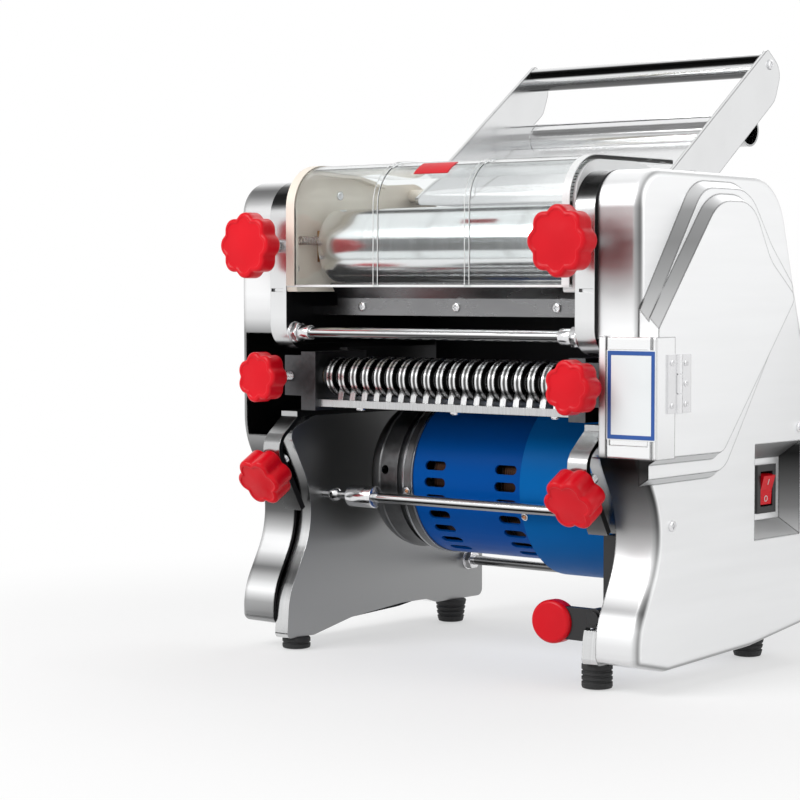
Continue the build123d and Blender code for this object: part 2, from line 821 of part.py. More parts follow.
def handle_arms():
    """Two flat arms that lean back from the end caps and hold grip, guide bar and chute."""
    slope = tan(arm_slope)
    base_z = cap_top - 24
    face = outline(
        [
            (grip_y - (grip_z + 12 - base_z) / slope, base_z, 4),
            (grip_y, grip_z + 12, 3),
            (grip_y + 21, grip_z - 3, 14),
            (grip_y + 11, grip_z - 28, 14),
            (grip_y + 11 - (grip_z - 28 - base_z) / slope, base_z, 4),
        ]
    )
    return [slab(face, sign * arm_x, sign * (arm_x + arm_thickness)) for sign in (-1, 1)]


def tube(y, z, radius):
    return rod_x(y, z, radius, -arm_x, arm_x) - rod_x(y, z, radius - tube_wall, -arm_x, arm_x)


def guide_bar():
    """Round guide at the top of the chute, with a narrow groove near each end."""
    bar = tube(guide_y, guide_z, guide_radius)
    for sign in (-1, 1):
        x = sign * (arm_x - 20)
        ring = rod_x(guide_y, guide_z, guide_radius + 1, x - 0.6, x + 0.6)
        bar -= ring - rod_x(guide_y, guide_z, guide_radius - 0.6, x - 0.6, x + 0.6)
    return bar


def feed_chute():
    """Bent sheet from the guide bar down to the rear roller."""
    end = (guide_y - guide_radius * cos(arm_slope), guide_z - guide_radius * sin(arm_slope))
    bend = (end[0] - 66, end[1] - 66 * tan(arm_slope))
    lip = (rear_roller_y + 9, roller_z + roller_radius + 2.5)
    t = chute_sheet
    corners = [
        (*end, 0),
        (*bend, 20),
        (*lip, 0),
        (lip[0], lip[1] - t, 0),
        (bend[0] + 0.3, bend[1] - t, 20 + t),
        (end[0] + t * sin(arm_slope), end[1] - t * cos(arm_slope), 0),
    ]
    return slab(outline(corners), -arm_x, arm_x)


def machine_screws():
    """Pan-head screws: scraper strip, comb bar, side covers, handle ends."""
    screws = []
    front_strip = front_roller_y - scraper_offset
    strip_x, head = roller_length / 2 - 29, 2.8
    for x in (-strip_x, 0, strip_x):
        screws.append(rod_y(x, 265.5, 3.6, front_strip - 2, front_strip))
    for place in (-1, 0, 1):
        x = comb_screw_x + place * comb_screw_pitch
        screws.append(Pos(x, cutter_front_y - 2, comb_bottom - head / 2) * Cylinder(4, head))
    for sign in (-1, 1):
        for y, z in ((41, 115), (body_depth - 33, 176)):
            lo, hi = sorted((sign * half_width, sign * (half_width + 1.8)))
            screws.append(rod_x(y, z, 4, lo, hi))
        lo, hi = sorted((sign * (arm_x + arm_thickness), sign * (arm_x + arm_thickness + 1.8)))
        screws.append(rod_x(grip_y + 3, grip_z, 4, lo, hi))
    return screws


# ---------------------------------------------------------------- motor


def stadium_slot(x, angle):
    """Cutter for one vent: a slot with round ends, through the casing wall."""
    flat = SlotOverall(vent_length, vent_width)
    bar = extrude(flat, amount=12)
    outward = Plane(
        origin=(x, motor_y - (motor_radius - 6) * cos(angle), motor_z + (motor_radius - 6) * sin(angle)),
        x_dir=(1, 0, 0),
        z_dir=(0, -cos(angle), sin(angle)),
    )
    return outward * bar


def motor_casing():
    """Painted casing with rows of vents on both flanks."""
    casing = rod_x(*motor_axis, motor_radius, casing_x0, casing_x1)
    casing -= rod_x(*motor_axis, motor_radius - motor_wall, casing_x0, casing_x1)
    for x in vent_columns_x:
        for row in range(vent_rows):
            angle = vent_first_angle - row * vent_angle_step
            casing -= stadium_slot(x, radians(angle))
            casing -= stadium_slot(x, radians(180 - angle))
    return casing


def drive_housing():
    """Larger painted housing between casing and right stand."""
    left, right = casing_x1, panel_x
    inner = drum_radius - drum_wall
    profile = [
        (left, motor_shaft_radius + 12),
        (left, drum_radius),
        (right, drum_radius),
        (right, motor_shaft_radius + running_fit),
        (right - 6, motor_shaft_radius + running_fit),
        (right - 6, inner),
        (left + 4, inner),
        (left + 4, motor_shaft_radius + 12),
    ]
    return turned(*motor_axis, profile)


def end_bell():
    """Cast end bell with its bearing seat and the ring that meets the casing."""
    ring_x = casing_x0 - 11
    band_x = ring_x - 7
    inner = motor_radius - 7
    profile = [
        (bell_x0, motor_shaft_radius + 4),
        (bell_x0, motor_radius - 16),
        (bell_x0 + 3, motor_radius - 8),
        (bell_x0 + 10, motor_radius - 2),
        (band_x, motor_radius - 2),
        (band_x, motor_radius - 5),
        (ring_x, motor_radius - 5),
        (ring_x, motor_radius + 0.5),
        (casing_x0, motor_radius + 0.5),
        (casing_x0, inner),
        (bell_x0 + 12, inner),
        (bell_x0 + 5, inner - 6),
        (bell_x0 + 5, motor_shaft_radius + 8),
        (bell_x0 + 18, motor_shaft_radius + 8),
        (bell_x0 + 18, motor_shaft_radius + running_fit),
        (bell_x0 + 3, motor_shaft_radius + running_fit),
        (bell_x0 + 3, motor_shaft_radius + 4),
    ]
    bell = turned(*motor_axis, profile)
    return bell - rod_y(-92, motor_z + 6, 3.5, motor_y - motor_radius - 2, motor_y - 45)


def stator():
    """Laminated core in the casing, with a wound coil ring at each end."""
    core = rod_x(*motor_axis, motor_radius - motor_wall - 0.1, stator_x0, stator_x1)
    core -= rod_x(*motor_axis, rotor_radius + 1, stator_x0 - 1, stator_x1 + 1)
    inner, outer = rotor_radius + 2.5, motor_radius - motor_wall - 5
    coils = []
    for x0, x1 in ((stator_x0 - winding_length, stator_x0), (stator_x1, stator_x1 + winding_length)):
        ring = rod_x(*motor_axis, outer, x0, x1) - rod_x(*motor_axis, inner, x0, x1)
        coils.append(fillet(ring.edges(), 4))
    return [core, *coils]


def motor_rotor():
    """Rotor and shaft, with the pinion cut on the shaft's end."""
    shaft = rod_x(*motor_axis, motor_shaft_radius, bell_x0 + 3.5, train_x)
    core = rod_x(*motor_axis, rotor_radius, stator_x0 + 2, stator_x1 - 2)
    pinion = gear(motor_axis, pinion_teeth, train_module, pinion_phase, train_x, train_end, 1.5)
    return shaft + core + pinion


# ---------------------------------------------------------------- knobs, switch, lever, flap


def knob(lobes, radius, thickness, dip, crown):
    """Lobed hand knob along +Z with a crowned face and a short hub behind."""
    path = []
    step = 2 * pi / lobes
    hollow_r = radius - dip
    middle_r = radius - dip / 2

    def at(r, angle):
        return (r * cos(angle), r * sin(angle))

    for lobe in range(lobes):
        a = lobe * step
        start, end = at(middle_r, a - step / 4), at(middle_r, a + step / 4)
        path.append(ThreePointArc(start, at(radius, a), end))
        path.append(ThreePointArc(end, at(hollow_r, a + step / 2), at(middle_r, a + 3 * step / 4)))
    body = extrude(make_face(path), amount=thickness)
    body &= Pos(0, 0, thickness - crown) * Sphere(crown)
    return body + Pos(0, 0, -knob_hub_depth / 2) * Cylinder(radius * 0.45, knob_hub_depth)


def with_stud(place, head, radius, length):
    """Knob head and the threaded stud set in its hub."""
    stud = Pos(0, 0, -knob_hub_depth - length / 2) * Cylinder(radius, length)
    return [place * head, place * stud]


def thickness_knob(side):
    origin = (side * knob_x, thickness_knob_y, roller_z)
    place = Plane(origin=origin, x_dir=(1, 0, 0), z_dir=(0, -1, 0))
    socket_floor = front_roller_y - block_side / 2 + screw_socket_depth
    length = socket_floor - screw_end_gap - (thickness_knob_y + knob_hub_depth)
    return with_stud(place, knob(8, thickness_knob_radius, 15, 4.5, 70), thickness_screw_radius, length)


def cutter_knob(side):
    origin = (side * knob_x, cutter_knob_y, cutter_z)
    place = Plane(origin=origin, x_dir=(1, 0, 0), z_dir=(0, -1, 0))
    head = knob(7, cutter_knob_radius, 16, 3.6, 40)
    return with_stud(place, head, clamp_screw_radius, cutter_stud_length)


def clamp_knob(side):
    origin = (side * knob_x, *clamp_axis(3.4))
    place = Plane(origin=origin, x_dir=(1, 0, 0), z_dir=(0, -cos(clamp_tilt), -sin(clamp_tilt)))
    head = knob(6, clamp_knob_radius, 19, 4.2, 60)
    return with_stud(place, head, clamp_screw_radius, clamp_stud_length)


def switch_frame():
    """Bezel of the mains switch with its body behind the pocket floor."""
    floor_x = half_width - switch_depth
    y, z = switch_y + 2, switch_z
    frame = block(floor_x, floor_x + 2.5, y - 13, y + 13, z - 18, z + 18)
    frame += block(floor_x - 14, floor_x, y - 10.5, y + 10.5, z - 14.5, z + 14.5)
    frame -= block(floor_x - 10, floor_x + 3, y - 8.5, y + 8.5, z - 13, z + 13)
    return frame + rod_y(rocker_x, z, 1.4, y - 9, y + 9)


def rocker():
    """Rocker, tipped so that its upper half stands out."""
    y = switch_y + 2
    half = 11.0
    front, middle, back = 5.5, 4.2, -2.0
    profile = Polyline(
        (back, -half), (front, -half), (middle, 0), (front, half), (back, half), (back - 4, 0), close=True
    )
    face = Rot(0, 0, -rocker_tilt) * make_face(profile)
    side = Plane(origin=(rocker_x, y + 8, switch_z), x_dir=(1, 0, 0), z_dir=(0, -1, 0))
    return extrude(side * face, amount=16) - rod_y(rocker_x, switch_z, 1.5, y - 9, y + 9)


def lever_bracket():
    """Black bracket behind the right stand's front opening, with the lever's pin."""
    body = block(panel_x + 2.5, seam_x - side_gap, 24, lever_back_y, lever_z - 7, 107)
    body += rod_y(lever_x, lever_z, lever_pin_radius, 7, 25)
    return body + rod_y(lever_x, lever_z, lever_pin_radius + 2, 7, 8.7)


def clutch_lever():
    """Flat lever that engages the drive; the hand end is inside the cap."""
    hub = rod_y(lever_x, lever_z, 7, 9, 18)
    arm = block(lever_x - lever_reach, lever_x, 10.5, 16.5, lever_z - 17, lever_z + 6)
    arm -= block(lever_x - 8, lever_x + 1, 9, 20, lever_z - 20, lever_z - 7)
    return hub + arm - rod_y(lever_x, lever_z, lever_pin_radius + running_fit, 5, 20)


def lever_cap():
    """Soft oval cap pushed over the lever's end."""
    end = lever_x - lever_reach
    oval = Rot(90, 0, 0) * extrude(Ellipse(17, 15.5), amount=6, both=True)
    grip = fillet((Pos(end - 5, 13.5, lever_z - 5.5) * oval).edges(), 3)
    return grip - block(end - 0.1, lever_x, 10.45, 16.55, lever_z - 17.05, lever_z + 6.05)


def cutter_flap():
    """Service flap over the cutter's gear end: boxed front with a label field, and side return."""
    side_x0, side_x1 = relief_x + 0.4, relief_x + 0.4 + flap_thickness
    front = block(flap_x0, side_x1, flap_front, -0.5, flap_bottom, flap_top)
    front = fillet(front.faces().sort_by(Axis.Y)[0].edges(), 1.2)
    front -= block(flap_x0 + 2, side_x0 - 2, -4, 0, flap_bottom + 2, flap_top - 2)
    front -= block(flap_x0 + 2.5, relief_x - 5, -6.5, -5.5, flap_bottom + 9, flap_top - 9)
    front -= block(relief_x - 2.5, relief_x - 0.5, -6.5, -4.5, flap_bottom - 1, flap_top + 1)
    ret = block(side_x0, side_x1, -2, hinge_y - knuckle_radius - 0.2, flap_bottom, flap_top)
    return front + ret


def hinge_leaf(moving):
    """Half of the flap's butt hinge."""
    third = (hinge_top - hinge_bottom) / 3
    if moving:
        spans = [(hinge_bottom, hinge_bottom + third - 0.3), (hinge_top - third + 0.3, hinge_top)]
        x0 = relief_x + 0.4 + flap_thickness
        plate = block(x0, x0 + 1.2, hinge_y - 13, hinge_y - knuckle_radius - 0.2, hinge_bottom, hinge_top)
        tongue_x = (x0, x0 + 1.2)
        tongue_y = (hinge_y - knuckle_radius - 1, hinge_y)
    else:
        spans = [(hinge_bottom + third + 0.3, hinge_top - third - 0.3)]
        x0 = relief_x
        plate = block(x0, x0 + 1.5, hinge_y + knuckle_radius + 0.6, hinge_y + 18, hinge_bottom, hinge_top)
        tongue_x = (x0 + 0.4, x0 + 1.5)
        tongue_y = (hinge_y, hinge_y + knuckle_radius + 1)
    leaf = plate
    for z0, z1 in spans:
        knuckle = Pos(hinge_x, hinge_y, (z0 + z1) / 2) * Cylinder(knuckle_radius, z1 - z0)
        leaf += knuckle + block(*tongue_x, *tongue_y, z0, z1)
    bore = Pos(hinge_x, hinge_y, (hinge_bottom + hinge_top) / 2) * Cylinder(
        hinge_pin_radius + running_fit, hinge_top - hinge_bottom + 2
    )
    return leaf - bore


def hinge_pin():
    middle = (hinge_bottom + hinge_top) / 2
    return Pos(hinge_x, hinge_y, middle) * Cylinder(hinge_pin_radius, hinge_top - hinge_bottom)


def power_inlet():
    """Mains inlet socket in the rear of the gearbox cover."""
    x, z, back = inlet_x, inlet_z, body_depth
    body = block(x - 12.5, x + 12.5, back - 16, back + 1, z - 11.5, z + 11.5)
    body += block(x - 16, x + 14, back, back + 2, z - 15, z + 15)
    body -= block(x - 10, x + 10, back - 12, back + 3, z - 9, z + 9)
    for pin in (-5, 0, 5):
        body += block(x + pin - 1, x + pin + 1, back - 13, back - 4, z - 3, z + 3)
    return body


def idler_studs():
    """Studs on the right frame for the three idler gears."""
    studs = []
    for axis in (lower_idler_axis, upper_idler_axis, cutter_idler_axis):
        stud = rod_x(*axis, stud_radius, seam_x, train_end + 1)
        studs.append(stud + rod_x(*axis, stud_radius + 3, seam_x, train_x - side_gap))
    return studs


def run_capacitor():
    """Motor capacitor on the outside of the left frame."""
    x = -seam_x - capacitor_radius - side_gap
    return Pos(x, motor_y, motor_z - 38) * Cylinder(capacitor_radius, capacitor_length)


# ---------------------------------------------------------------- the machine

bore = journal_radius + running_fit
stud_bore = stud_radius + running_fit
shaft_bore = cutter_shaft_radius + running_fit

nodes = {
    "left_side_frame": other_side(side_frame(False)),
    "right_side_frame": side_frame(True),
    "left_stand_panel": other_side(stand_panel(False)),
    "right_stand_panel": stand_panel(True),
    "left_cover": other_side(cover_shell()),
    "gearbox_cover": gearbox_cover(),
    "rubber_feet": rubber_feet(),
    "left_end_cap": other_side(end_cap()),
    "right_end_cap": end_cap(),
    "roller_guard": roller_guard(),
    "feed_chute": feed_chute(),
    "guide_bar": guide_bar(),
    "handle_arms": handle_arms(),
    "handle_grip": tube(grip_y, grip_z, grip_radius),
    "machine_screws": machine_screws(),
    "tie_rods": tie_rods(),
    "tie_rod_nuts": tie_rod_nuts(),
    "front_scraper": scraper(front_roller_y, 1),
    "rear_scraper": scraper(rear_roller_y, -1),
    "rear_panel": rear_panel(),
    "left_cutter_block": other_side(cutter_block()),
    "right_cutter_block": cutter_block(),
    "bronze_bushes": bronze_bushes(),
    "front_cutter_comb": comb(cutter_front_y, cutter_rear_y, rear_disc_x, rear_disc_count, 1),
    "rear_cutter_comb": comb(cutter_rear_y, cutter_front_y, front_disc_x, disc_count, -1),
    "motor_casing": motor_casing(),
    "drive_housing": drive_housing(),
    "motor_end_bell": end_bell(),
    "motor_stator": stator(),
    "run_capacitor": run_capacitor(),
    "idler_studs": idler_studs(),
    "power_inlet": power_inlet(),
    "switch_frame": switch_frame(),
    "lever_bracket": lever_bracket(),
    "hinge_fixed_leaf": hinge_leaf(False),
    "hinge_pin": hinge_pin(),
    "bearing_blocks": [bearing_block(), other_side(bearing_block())],
    "front_dough_roller": dough_roller(front_roller_axis),
    "front_roller_gear": gear(
        front_roller_axis,
        roller_pair_teeth,
        roller_pair_module,
        roller_pair_phase,
        roller_pair_x,
        roller_pair_end,
        bore,
    ),
    "rear_dough_roller": dough_roller(rear_roller_axis),
    "rear_roller_gears": gear(
        rear_roller_axis, roller_gear_teeth, train_module, roller_gear_phase, train_x, train_end, bore
    )
    + bush(rear_roller_axis, journal_radius, journal_radius + 6, train_end, roller_pair_x)
    + gear(
        rear_roller_axis,
        roller_pair_teeth,
        roller_pair_module,
        0.0,
        roller_pair_x,
        roller_pair_end,
        bore,
    ),
    "front_cutter_roll": cutter_roll(front_cutter_axis, front_disc_x, disc_count, cutter_pair_end),
    "front_cutter_gear": gear(
        front_cutter_axis,
        cutter_pair_teeth,
        cutter_pair_module,
        cutter_pair_phase,
        train_x,
        cutter_pair_end,
        shaft_bore,
    ),
    "rear_cutter_roll": cutter_roll(rear_cutter_axis, rear_disc_x, rear_disc_count, train_end),
    "rear_cutter_gears": gear(
        rear_cutter_axis, cutter_pair_teeth, cutter_pair_module, 0.0, train_x, cutter_pair_end, shaft_bore
    )
    + bush(rear_cutter_axis, cutter_shaft_radius, cutter_shaft_radius + 4, cutter_pair_end, cutter_train_x)
    + gear(
        rear_cutter_axis,
        cutter_gear_teeth,
        train_module,
        cutter_gear_phase,
        cutter_train_x,
        train_end,
        shaft_bore,
    ),
    "upper_idler_gear": gear(
        upper_idler_axis, upper_idler_teeth, train_module, upper_idler_phase, train_x, train_end, stud_bore
    ),
    "lower_idler_gear": gear(
        lower_idler_axis, lower_idler_teeth, train_module, lower_idler_phase, train_x, train_end, stud_bore
    ),
    "cutter_idler_gear": gear(
        cutter_idler_axis,
        cutter_idler_teeth,
        train_module,
        cutter_idler_phase,
        cutter_train_x,
        train_end,
        stud_bore,
    ),
    "motor_rotor": motor_rotor(),
    "left_thickness_knob": thickness_knob(-1),
    "right_thickness_knob": thickness_knob(1),
    "left_cutter_knob": cutter_knob(-1),
    "right_cutter_knob": cutter_knob(1),
    "left_clamp_knob": clamp_knob(-1),
    "right_clamp_knob": clamp_knob(1),
    "switch_rocker": rocker(),
    "clutch_lever": clutch_lever(),
    "lever_cap": lever_cap(),
    "cutter_flap": cutter_flap(),
    "hinge_moving_leaf": hinge_leaf(True),
}


def as_solids(item):
    """List of the solids that make up one node."""
    parts = item if isinstance(item, list) else [item]
    return [solid for part in parts for solid in part.solids()]


solids = {name: as_solids(item) for name, item in nodes.items()}
whole = Compound([s for group in solids.values() for s in group]).bounding_box()
shift = (-(whole.min.X + whole.max.X) / 2, -(whole.min.Y + whole.max.Y) / 2, -whole.min.Z)

os.makedirs("parts", exist_ok=True)
for name, group in solids.items():
    moved = [solid.moved(Location(shift)) for solid in group]
    export_step(moved[0] if len(moved) == 1 else Compound(moved), f"parts/{name}.step")
print("nodes", len(solids), "shift", shift, "size", whole.size)
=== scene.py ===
"""Finishes and fine pieces of an electric dough sheeter and noodle cutter.

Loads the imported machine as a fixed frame, gives every part its finish, and adds knobs, screws,
threads, windings, the label plate and the switch marks. Materials are in metres. The layout and
the small forms are in millimetres.
"""

import math

import bmesh
import bpy
from mathutils import Matrix, Vector


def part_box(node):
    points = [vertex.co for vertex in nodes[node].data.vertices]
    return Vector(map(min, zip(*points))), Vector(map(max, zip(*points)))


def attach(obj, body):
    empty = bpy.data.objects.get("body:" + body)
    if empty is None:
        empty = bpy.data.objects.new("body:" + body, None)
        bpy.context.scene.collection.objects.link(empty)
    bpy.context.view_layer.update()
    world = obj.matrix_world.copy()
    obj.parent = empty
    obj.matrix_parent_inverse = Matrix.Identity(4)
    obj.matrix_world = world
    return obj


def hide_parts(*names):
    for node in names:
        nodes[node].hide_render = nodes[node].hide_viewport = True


bl_info = {
    "name": "Dough Sheeter Finishes",
    "version": (1, 0, 0),
    "blender": (4, 5, 0),
    "location": "3D View > Sidebar > Sheeter",
    "description": "Finishes and fine pieces for an electric dough sheeter and noodle cutter",
    "category": "Object",
}

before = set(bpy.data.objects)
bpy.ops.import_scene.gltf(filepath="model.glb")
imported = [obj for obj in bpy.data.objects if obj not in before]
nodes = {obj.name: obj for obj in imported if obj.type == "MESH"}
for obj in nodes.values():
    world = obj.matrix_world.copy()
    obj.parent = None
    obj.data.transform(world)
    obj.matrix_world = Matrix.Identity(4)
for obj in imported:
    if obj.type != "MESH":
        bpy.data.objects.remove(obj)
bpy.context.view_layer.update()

MM = 0.001
SIDES = (("left", -1), ("right", 1))

# The grip's middle is a known place on the machine: it ties the layout below to the frame.
GRIP_PLACE = Vector((0, 0.283, 0.455))
grip_low, grip_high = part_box("handle_grip")
DATUM = (grip_low + grip_high) / 2 - GRIP_PLACE
DATUM.z = 0


def place(x, y, z):
    """Point in metres from the machine's layout in millimetres: X from the middle of the rollers,
    Y from the front of the covers, Z from the floor."""
    return DATUM + Vector((x, y, z)) * MM


# ---- layout, in millimetres

# middle of a cutter roll's first disc: x, y, z
CUTTER_AXES = {"front disc": (0.0, 30.0, 212.0), "rear disc": (6.0, 55.0, 212.0)}
DISC_PITCH = 12.0
ROLL_REACH = 20.0  # radius that the cutter rolls' tones cover
BAND_TOP = 400.0  # height that the painted reflection bands cover

KNOB_X = 145.5
KNOB_BACKS = {"thickness": (-25.0, 312.0), "cutter": (-11.3, 212.0)}  # y and z of the back's middle
CLAMP_SEAT = (-5.6, 142.0)  # y and z where a clamp knob's axis meets its panel
CLAMP_GAP = 3.4
CLAMP_TILT = math.radians(30)
HUB_DEPTH = 3.0

MOTOR = (120.0, 133.0)  # y and z of the motor's axis
MOTOR_SCREWS = ((50.6, 70.0, -17.5), (-67.5, 60.9, -8.5))  # x, radius of the seats, first angle
WINDINGS = (("left_winding", -50.2, -27.8), ("right_winding", 14.8, 37.2))  # ends along x
WINDING_RADII = (37.6, 53.3)

UPPER_ROD = (6.0, 246.0)  # y and z of the upper tie rod's axis
ROD_BORE = 4.1
NUT_ACROSS = 14.0
WASHER_THICK, WASHER_RADIUS = 1.2, 8.4
LONGEST_NUT = 9.0  # with its washer; anything longer on a rod is a sleeve
COLLAR_START, COLLAR_LENGTH, COLLAR_RADIUS = 128.4, 11.0, 5.8

CAP_FACE = 132.0
CAP_SCREWS = ((5.0, 294.5), (56.0, 352.0))
FIXED_LEAF_SCREWS = [(204.5, 31.0, z) for z in (201.0, 215.0, 229.0)]
MOVING_LEAF_SCREWS = [(206.6, 11.0, z) for z in (200.5, 229.5)]

LABEL_X, LABEL_BACK, LABEL_Z = 184.9, -6.0, 207.4
LABEL_WIDTH, LABEL_HEIGHT, LABEL_THICK = 40.2, 61.6, 0.5
LABEL_MARGIN = 0.8

GUARD_HALF = 132.8
GUARD_SKIN, RIB_SKIN = -5.6, -6.4  # y of the guard's straight front, between the ribs and on them
BEND_Y, BEND_Z = 27.5, 340.0  # middle of the guard's bend
RIB_X = 43.0
RIB_LINE_OFF, RIB_LINE_HALF = 2.1, 0.35
LEFT_BORDER, RIGHT_BORDER = 8.4, 6.6
GUARD_PLATE_X, GUARD_PLATE_TURN = (-14.5, 17.5), (44, 69)
BEAD_MIDDLE = (-4, 281.4)
BEAD = (
    (-5.8, 281.0), (-5.5, 280.5), (-2.5, 280.5), (-2.2, 281.0),
    (-2.2, 281.9), (-2.5, 282.3), (-5.5, 282.3), (-5.8, 281.9),
)

SPRING_PLACE = (128.2, 5.5, 316.0)
SPRING_RADIUS, SPRING_LENGTH, SPRING_WIRE = 2.9, 19.5, 0.55

TALL_FOOT, WIDE_FOOT = 16, 12  # height and radius over which a foot tapers
FOOT_TAPER = 0.81
FOOT_RIB_PITCH = 5


# ---- tones

# facing of the sheet (1 flat side, 0 rim) and the tone of the painted shade there
SLOPE_PAINTED_SHADE = (
    (0.0, 1.0), (0.2, 0.95), (0.33, 0.85), (0.5, 0.78), (0.62, 0.62),
    (0.76, 0.38), (0.88, 0.62), (0.96, 0.96), (1.0, 1.0),
)
# how far a fold's rounded normal agrees with the flat beside it, and the tone of the painted shade there
FOLD_PAINTED_SHADE = ((0.80, 0.12), (0.94, 0.26), (0.985, 0.66), (0.998, 1.0))
# height in mm on the front bands and the tone there: painted reflections of dark and bright surroundings
RIGHT_COVER_PAINTED_REFLECTIONS = (
    (20, 0.9), (45, 0.9), (57, 0.24), (66, 0.5), (76, 1.0), (90, 1.0), (103, 0.6), (116, 0.30),
    (134, 0.15), (147, 0.07), (156, 0.02), (163, 0.03), (168, 0.75), (250, 0.95), (262, 0.85),
    (286, 0.56), (312, 0.40), (334, 0.48), (345, 0.9), (355, 1.0),
)
LEFT_COVER_PAINTED_REFLECTIONS = (
    (20, 0.45), (36, 0.45), (45, 0.95), (53, 0.5), (62, 0.14), (74, 0.74), (86, 0.76), (95, 0.42),
    (105, 0.14), (118, 0.06), (150, 0.12), (162, 0.32), (170, 0.4), (240, 0.3), (247, 0.35),
    (256, 0.75), (275, 0.98), (300, 0.85), (335, 0.75), (345, 0.48), (355, 0.18), (363, 0.9),
)
FRAME_PAINTED_REFLECTIONS = (
    (20, 0.8), (38, 0.8), (50, 0.35), (60, 0.22), (72, 0.8), (88, 0.9), (100, 0.42), (112, 0.12),
    (124, 0.05), (140, 0.25), (156, 0.6), (166, 0.5), (240, 0.7), (258, 0.9), (300, 0.85),
    (338, 0.75), (344, 0.05), (358, 0.015), (364, 0.25),
)
# upward share of the normal (0 down, 1 up) and the tone there: painted reflections, with painted shade on
# the underside
TUBE_PAINTED_REFLECTIONS = {
    "rods": ((0.0, 0.3), (0.22, 0.35), (0.33, 0.08), (0.45, 0.12), (0.52, 0.75), (0.62, 1.0), (1.0, 1.0)),
    "guide": ((0.0, 0.6), (0.2, 0.95), (0.42, 0.95), (0.5, 0.5), (0.66, 0.5), (0.72, 0.9), (1.0, 1.0)),
    "grip": (
        (0.0, 0.10), (0.22, 0.16), (0.36, 0.8), (0.46, 0.9),
        (0.53, 0.012), (0.82, 0.008), (0.88, 0.8), (1.0, 1.0),
    ),
}
# radius in mm round a cutter roll and the tone there: painted shade on the core, deeper painted shade on
# the disc sides, rims left bright
ROLL_PAINTED_SHADE = ((0.0, 0.55), (9.7, 0.55), (10.0, 0.02), (13.6, 0.02), (14.3, 1.0))
# share of the pitch from a disc's middle, and the tone there: a painted dark reflection line down the
# middle of the rim
DISC_PAINTED_REFLECTION = ((0.0, 0.10), (0.07, 0.14), (0.13, 1.0), (0.20, 1.0), (0.24, 0.5))
INSIDE_PAINTED_SHADE = (0.02, 0.02, 0.021)  # colour of the painted shade on the inner faces
CHUTE_PAINTED_SHADE = (0.03, 0.03, 0.032)  # colour of the painted shade on the rear sheet's side towards the machine
NOISE_RANGE = (0.3, 0.7)  # part of the noise over which a finish changes


# ---- shader nodes


def add(tree, kind, inputs=None, **settings):
    """New shader node. Each input takes a value or the output that feeds it."""
    node = tree.nodes.new(f"ShaderNode{kind}")
    for name, value in settings.items():
        setattr(node, name, value)
    for socket, value in (inputs or {}).items():
        if isinstance(value, bpy.types.NodeSocket):
            tree.links.new(value, node.inputs[socket])
        else:
            node.inputs[socket].default_value = value
    return node


def work_out(tree, operation, *values, kind="Math", result="Value"):
    """Output of a sum on values, or on vectors where the kind is VectorMath."""
    return add(tree, kind, dict(enumerate(values)), operation=operation).outputs[result]


def ranged(tree, value, low=0.0, high=1.0, to_low=0.0, to_high=1.0, **settings):
    """Value moved from one range to another."""
    limits = {"From Min": low, "From Max": high, "To Min": to_low, "To Max": to_high}
    return add(tree, "MapRange", {"Value": value, **limits}, **settings).outputs["Result"]


def ramp(tree, value, steps):
    """Colour over a value; each step is its position with a grey level or a colour."""
    node = add(tree, "ValToRGB", {"Fac": value})
    elements = node.color_ramp.elements
    while len(elements) < len(steps):
        elements.new(0.5)
    for element, (position, tone) in zip(elements, steps):
        element.position = position
        element.color = (*(tone if isinstance(tone, tuple) else (tone, tone, tone)), 1)
    return node.outputs["Color"]


# first input and output of a Mix node, by the kind of its values
MIX_SOCKETS = {"RGBA": (6, 2), "FLOAT": (2, 0)}


def mixed(tree, kind, share, first, second, mode="MIX"):
    """Output that blends two values by a share."""
    slot, result = MIX_SOCKETS[kind]
    inputs = {"Factor": share, slot: first, slot + 1: second}
    return add(tree, "Mix", inputs, data_type=kind, blend_type=mode).outputs[result]


def part_of(tree, vector, letter):
    return add(tree, "SeparateXYZ", {"Vector": vector}).outputs[letter]


def object_point(tree):
    return add(tree, "TexCoord").outputs["Object"]


def normal(tree):
    return add(tree, "NewGeometry").outputs["Normal"]


def rounded_normal(tree):
    """Normal that the finish's edge rounding has made."""
    return next(node for node in tree.nodes if node.type == "BEVEL").outputs["Normal"]


def shader_of(material):
    return material.node_tree.nodes["Principled BSDF"]


def feed(material, socket, output):
    material.node_tree.links.new(output, shader_of(material).inputs[socket])


def fed_by(material, socket):
    """Output that feeds one of the shader's sockets."""
    return shader_of(material).inputs[socket].links[0].from_socket


# ---- finishes


def surface(name, colour, metallic=0.0, roughness=0.5, **shine):
    """Principled material with constants on the shader's own sockets."""
    material = bpy.data.materials.new(name)
    material.use_nodes = True
    sockets = shader_of(material).inputs
    sockets["Base Color"].default_value = (*colour, 1)
    sockets["Metallic"].default_value = metallic
    sockets["Roughness"].default_value = roughness
    for socket, value in shine.items():
        sockets[socket.replace("_", " ").title().replace("Ior", "IOR")].default_value = value
    return material


def texture(material, stretch, detail=4.0, rough=0.55):
    """Noise in object space, stretched by scale factors per metre."""
    tree = material.node_tree
    mapping = add(tree, "Mapping", {"Vector": object_point(tree), "Scale": stretch})
    noise = {"Vector": mapping.outputs["Vector"], "Scale": 1.0, "Detail": detail, "Roughness": rough}
    return add(tree, "TexNoise", noise).outputs["Fac"]


def vary_roughness(material, value, low, high):
    feed(material, "Roughness", ranged(material.node_tree, value, *NOISE_RANGE, low, high))


def vary_colour(material, value, colour, spread):
    """Varies the colour to both sides by a share of its tone."""
    tones = [shade(colour, 1 - spread), shade(colour, 1 + spread)]
    feed(material, "Base Color", ramp(material.node_tree, value, list(zip(NOISE_RANGE, tones))))


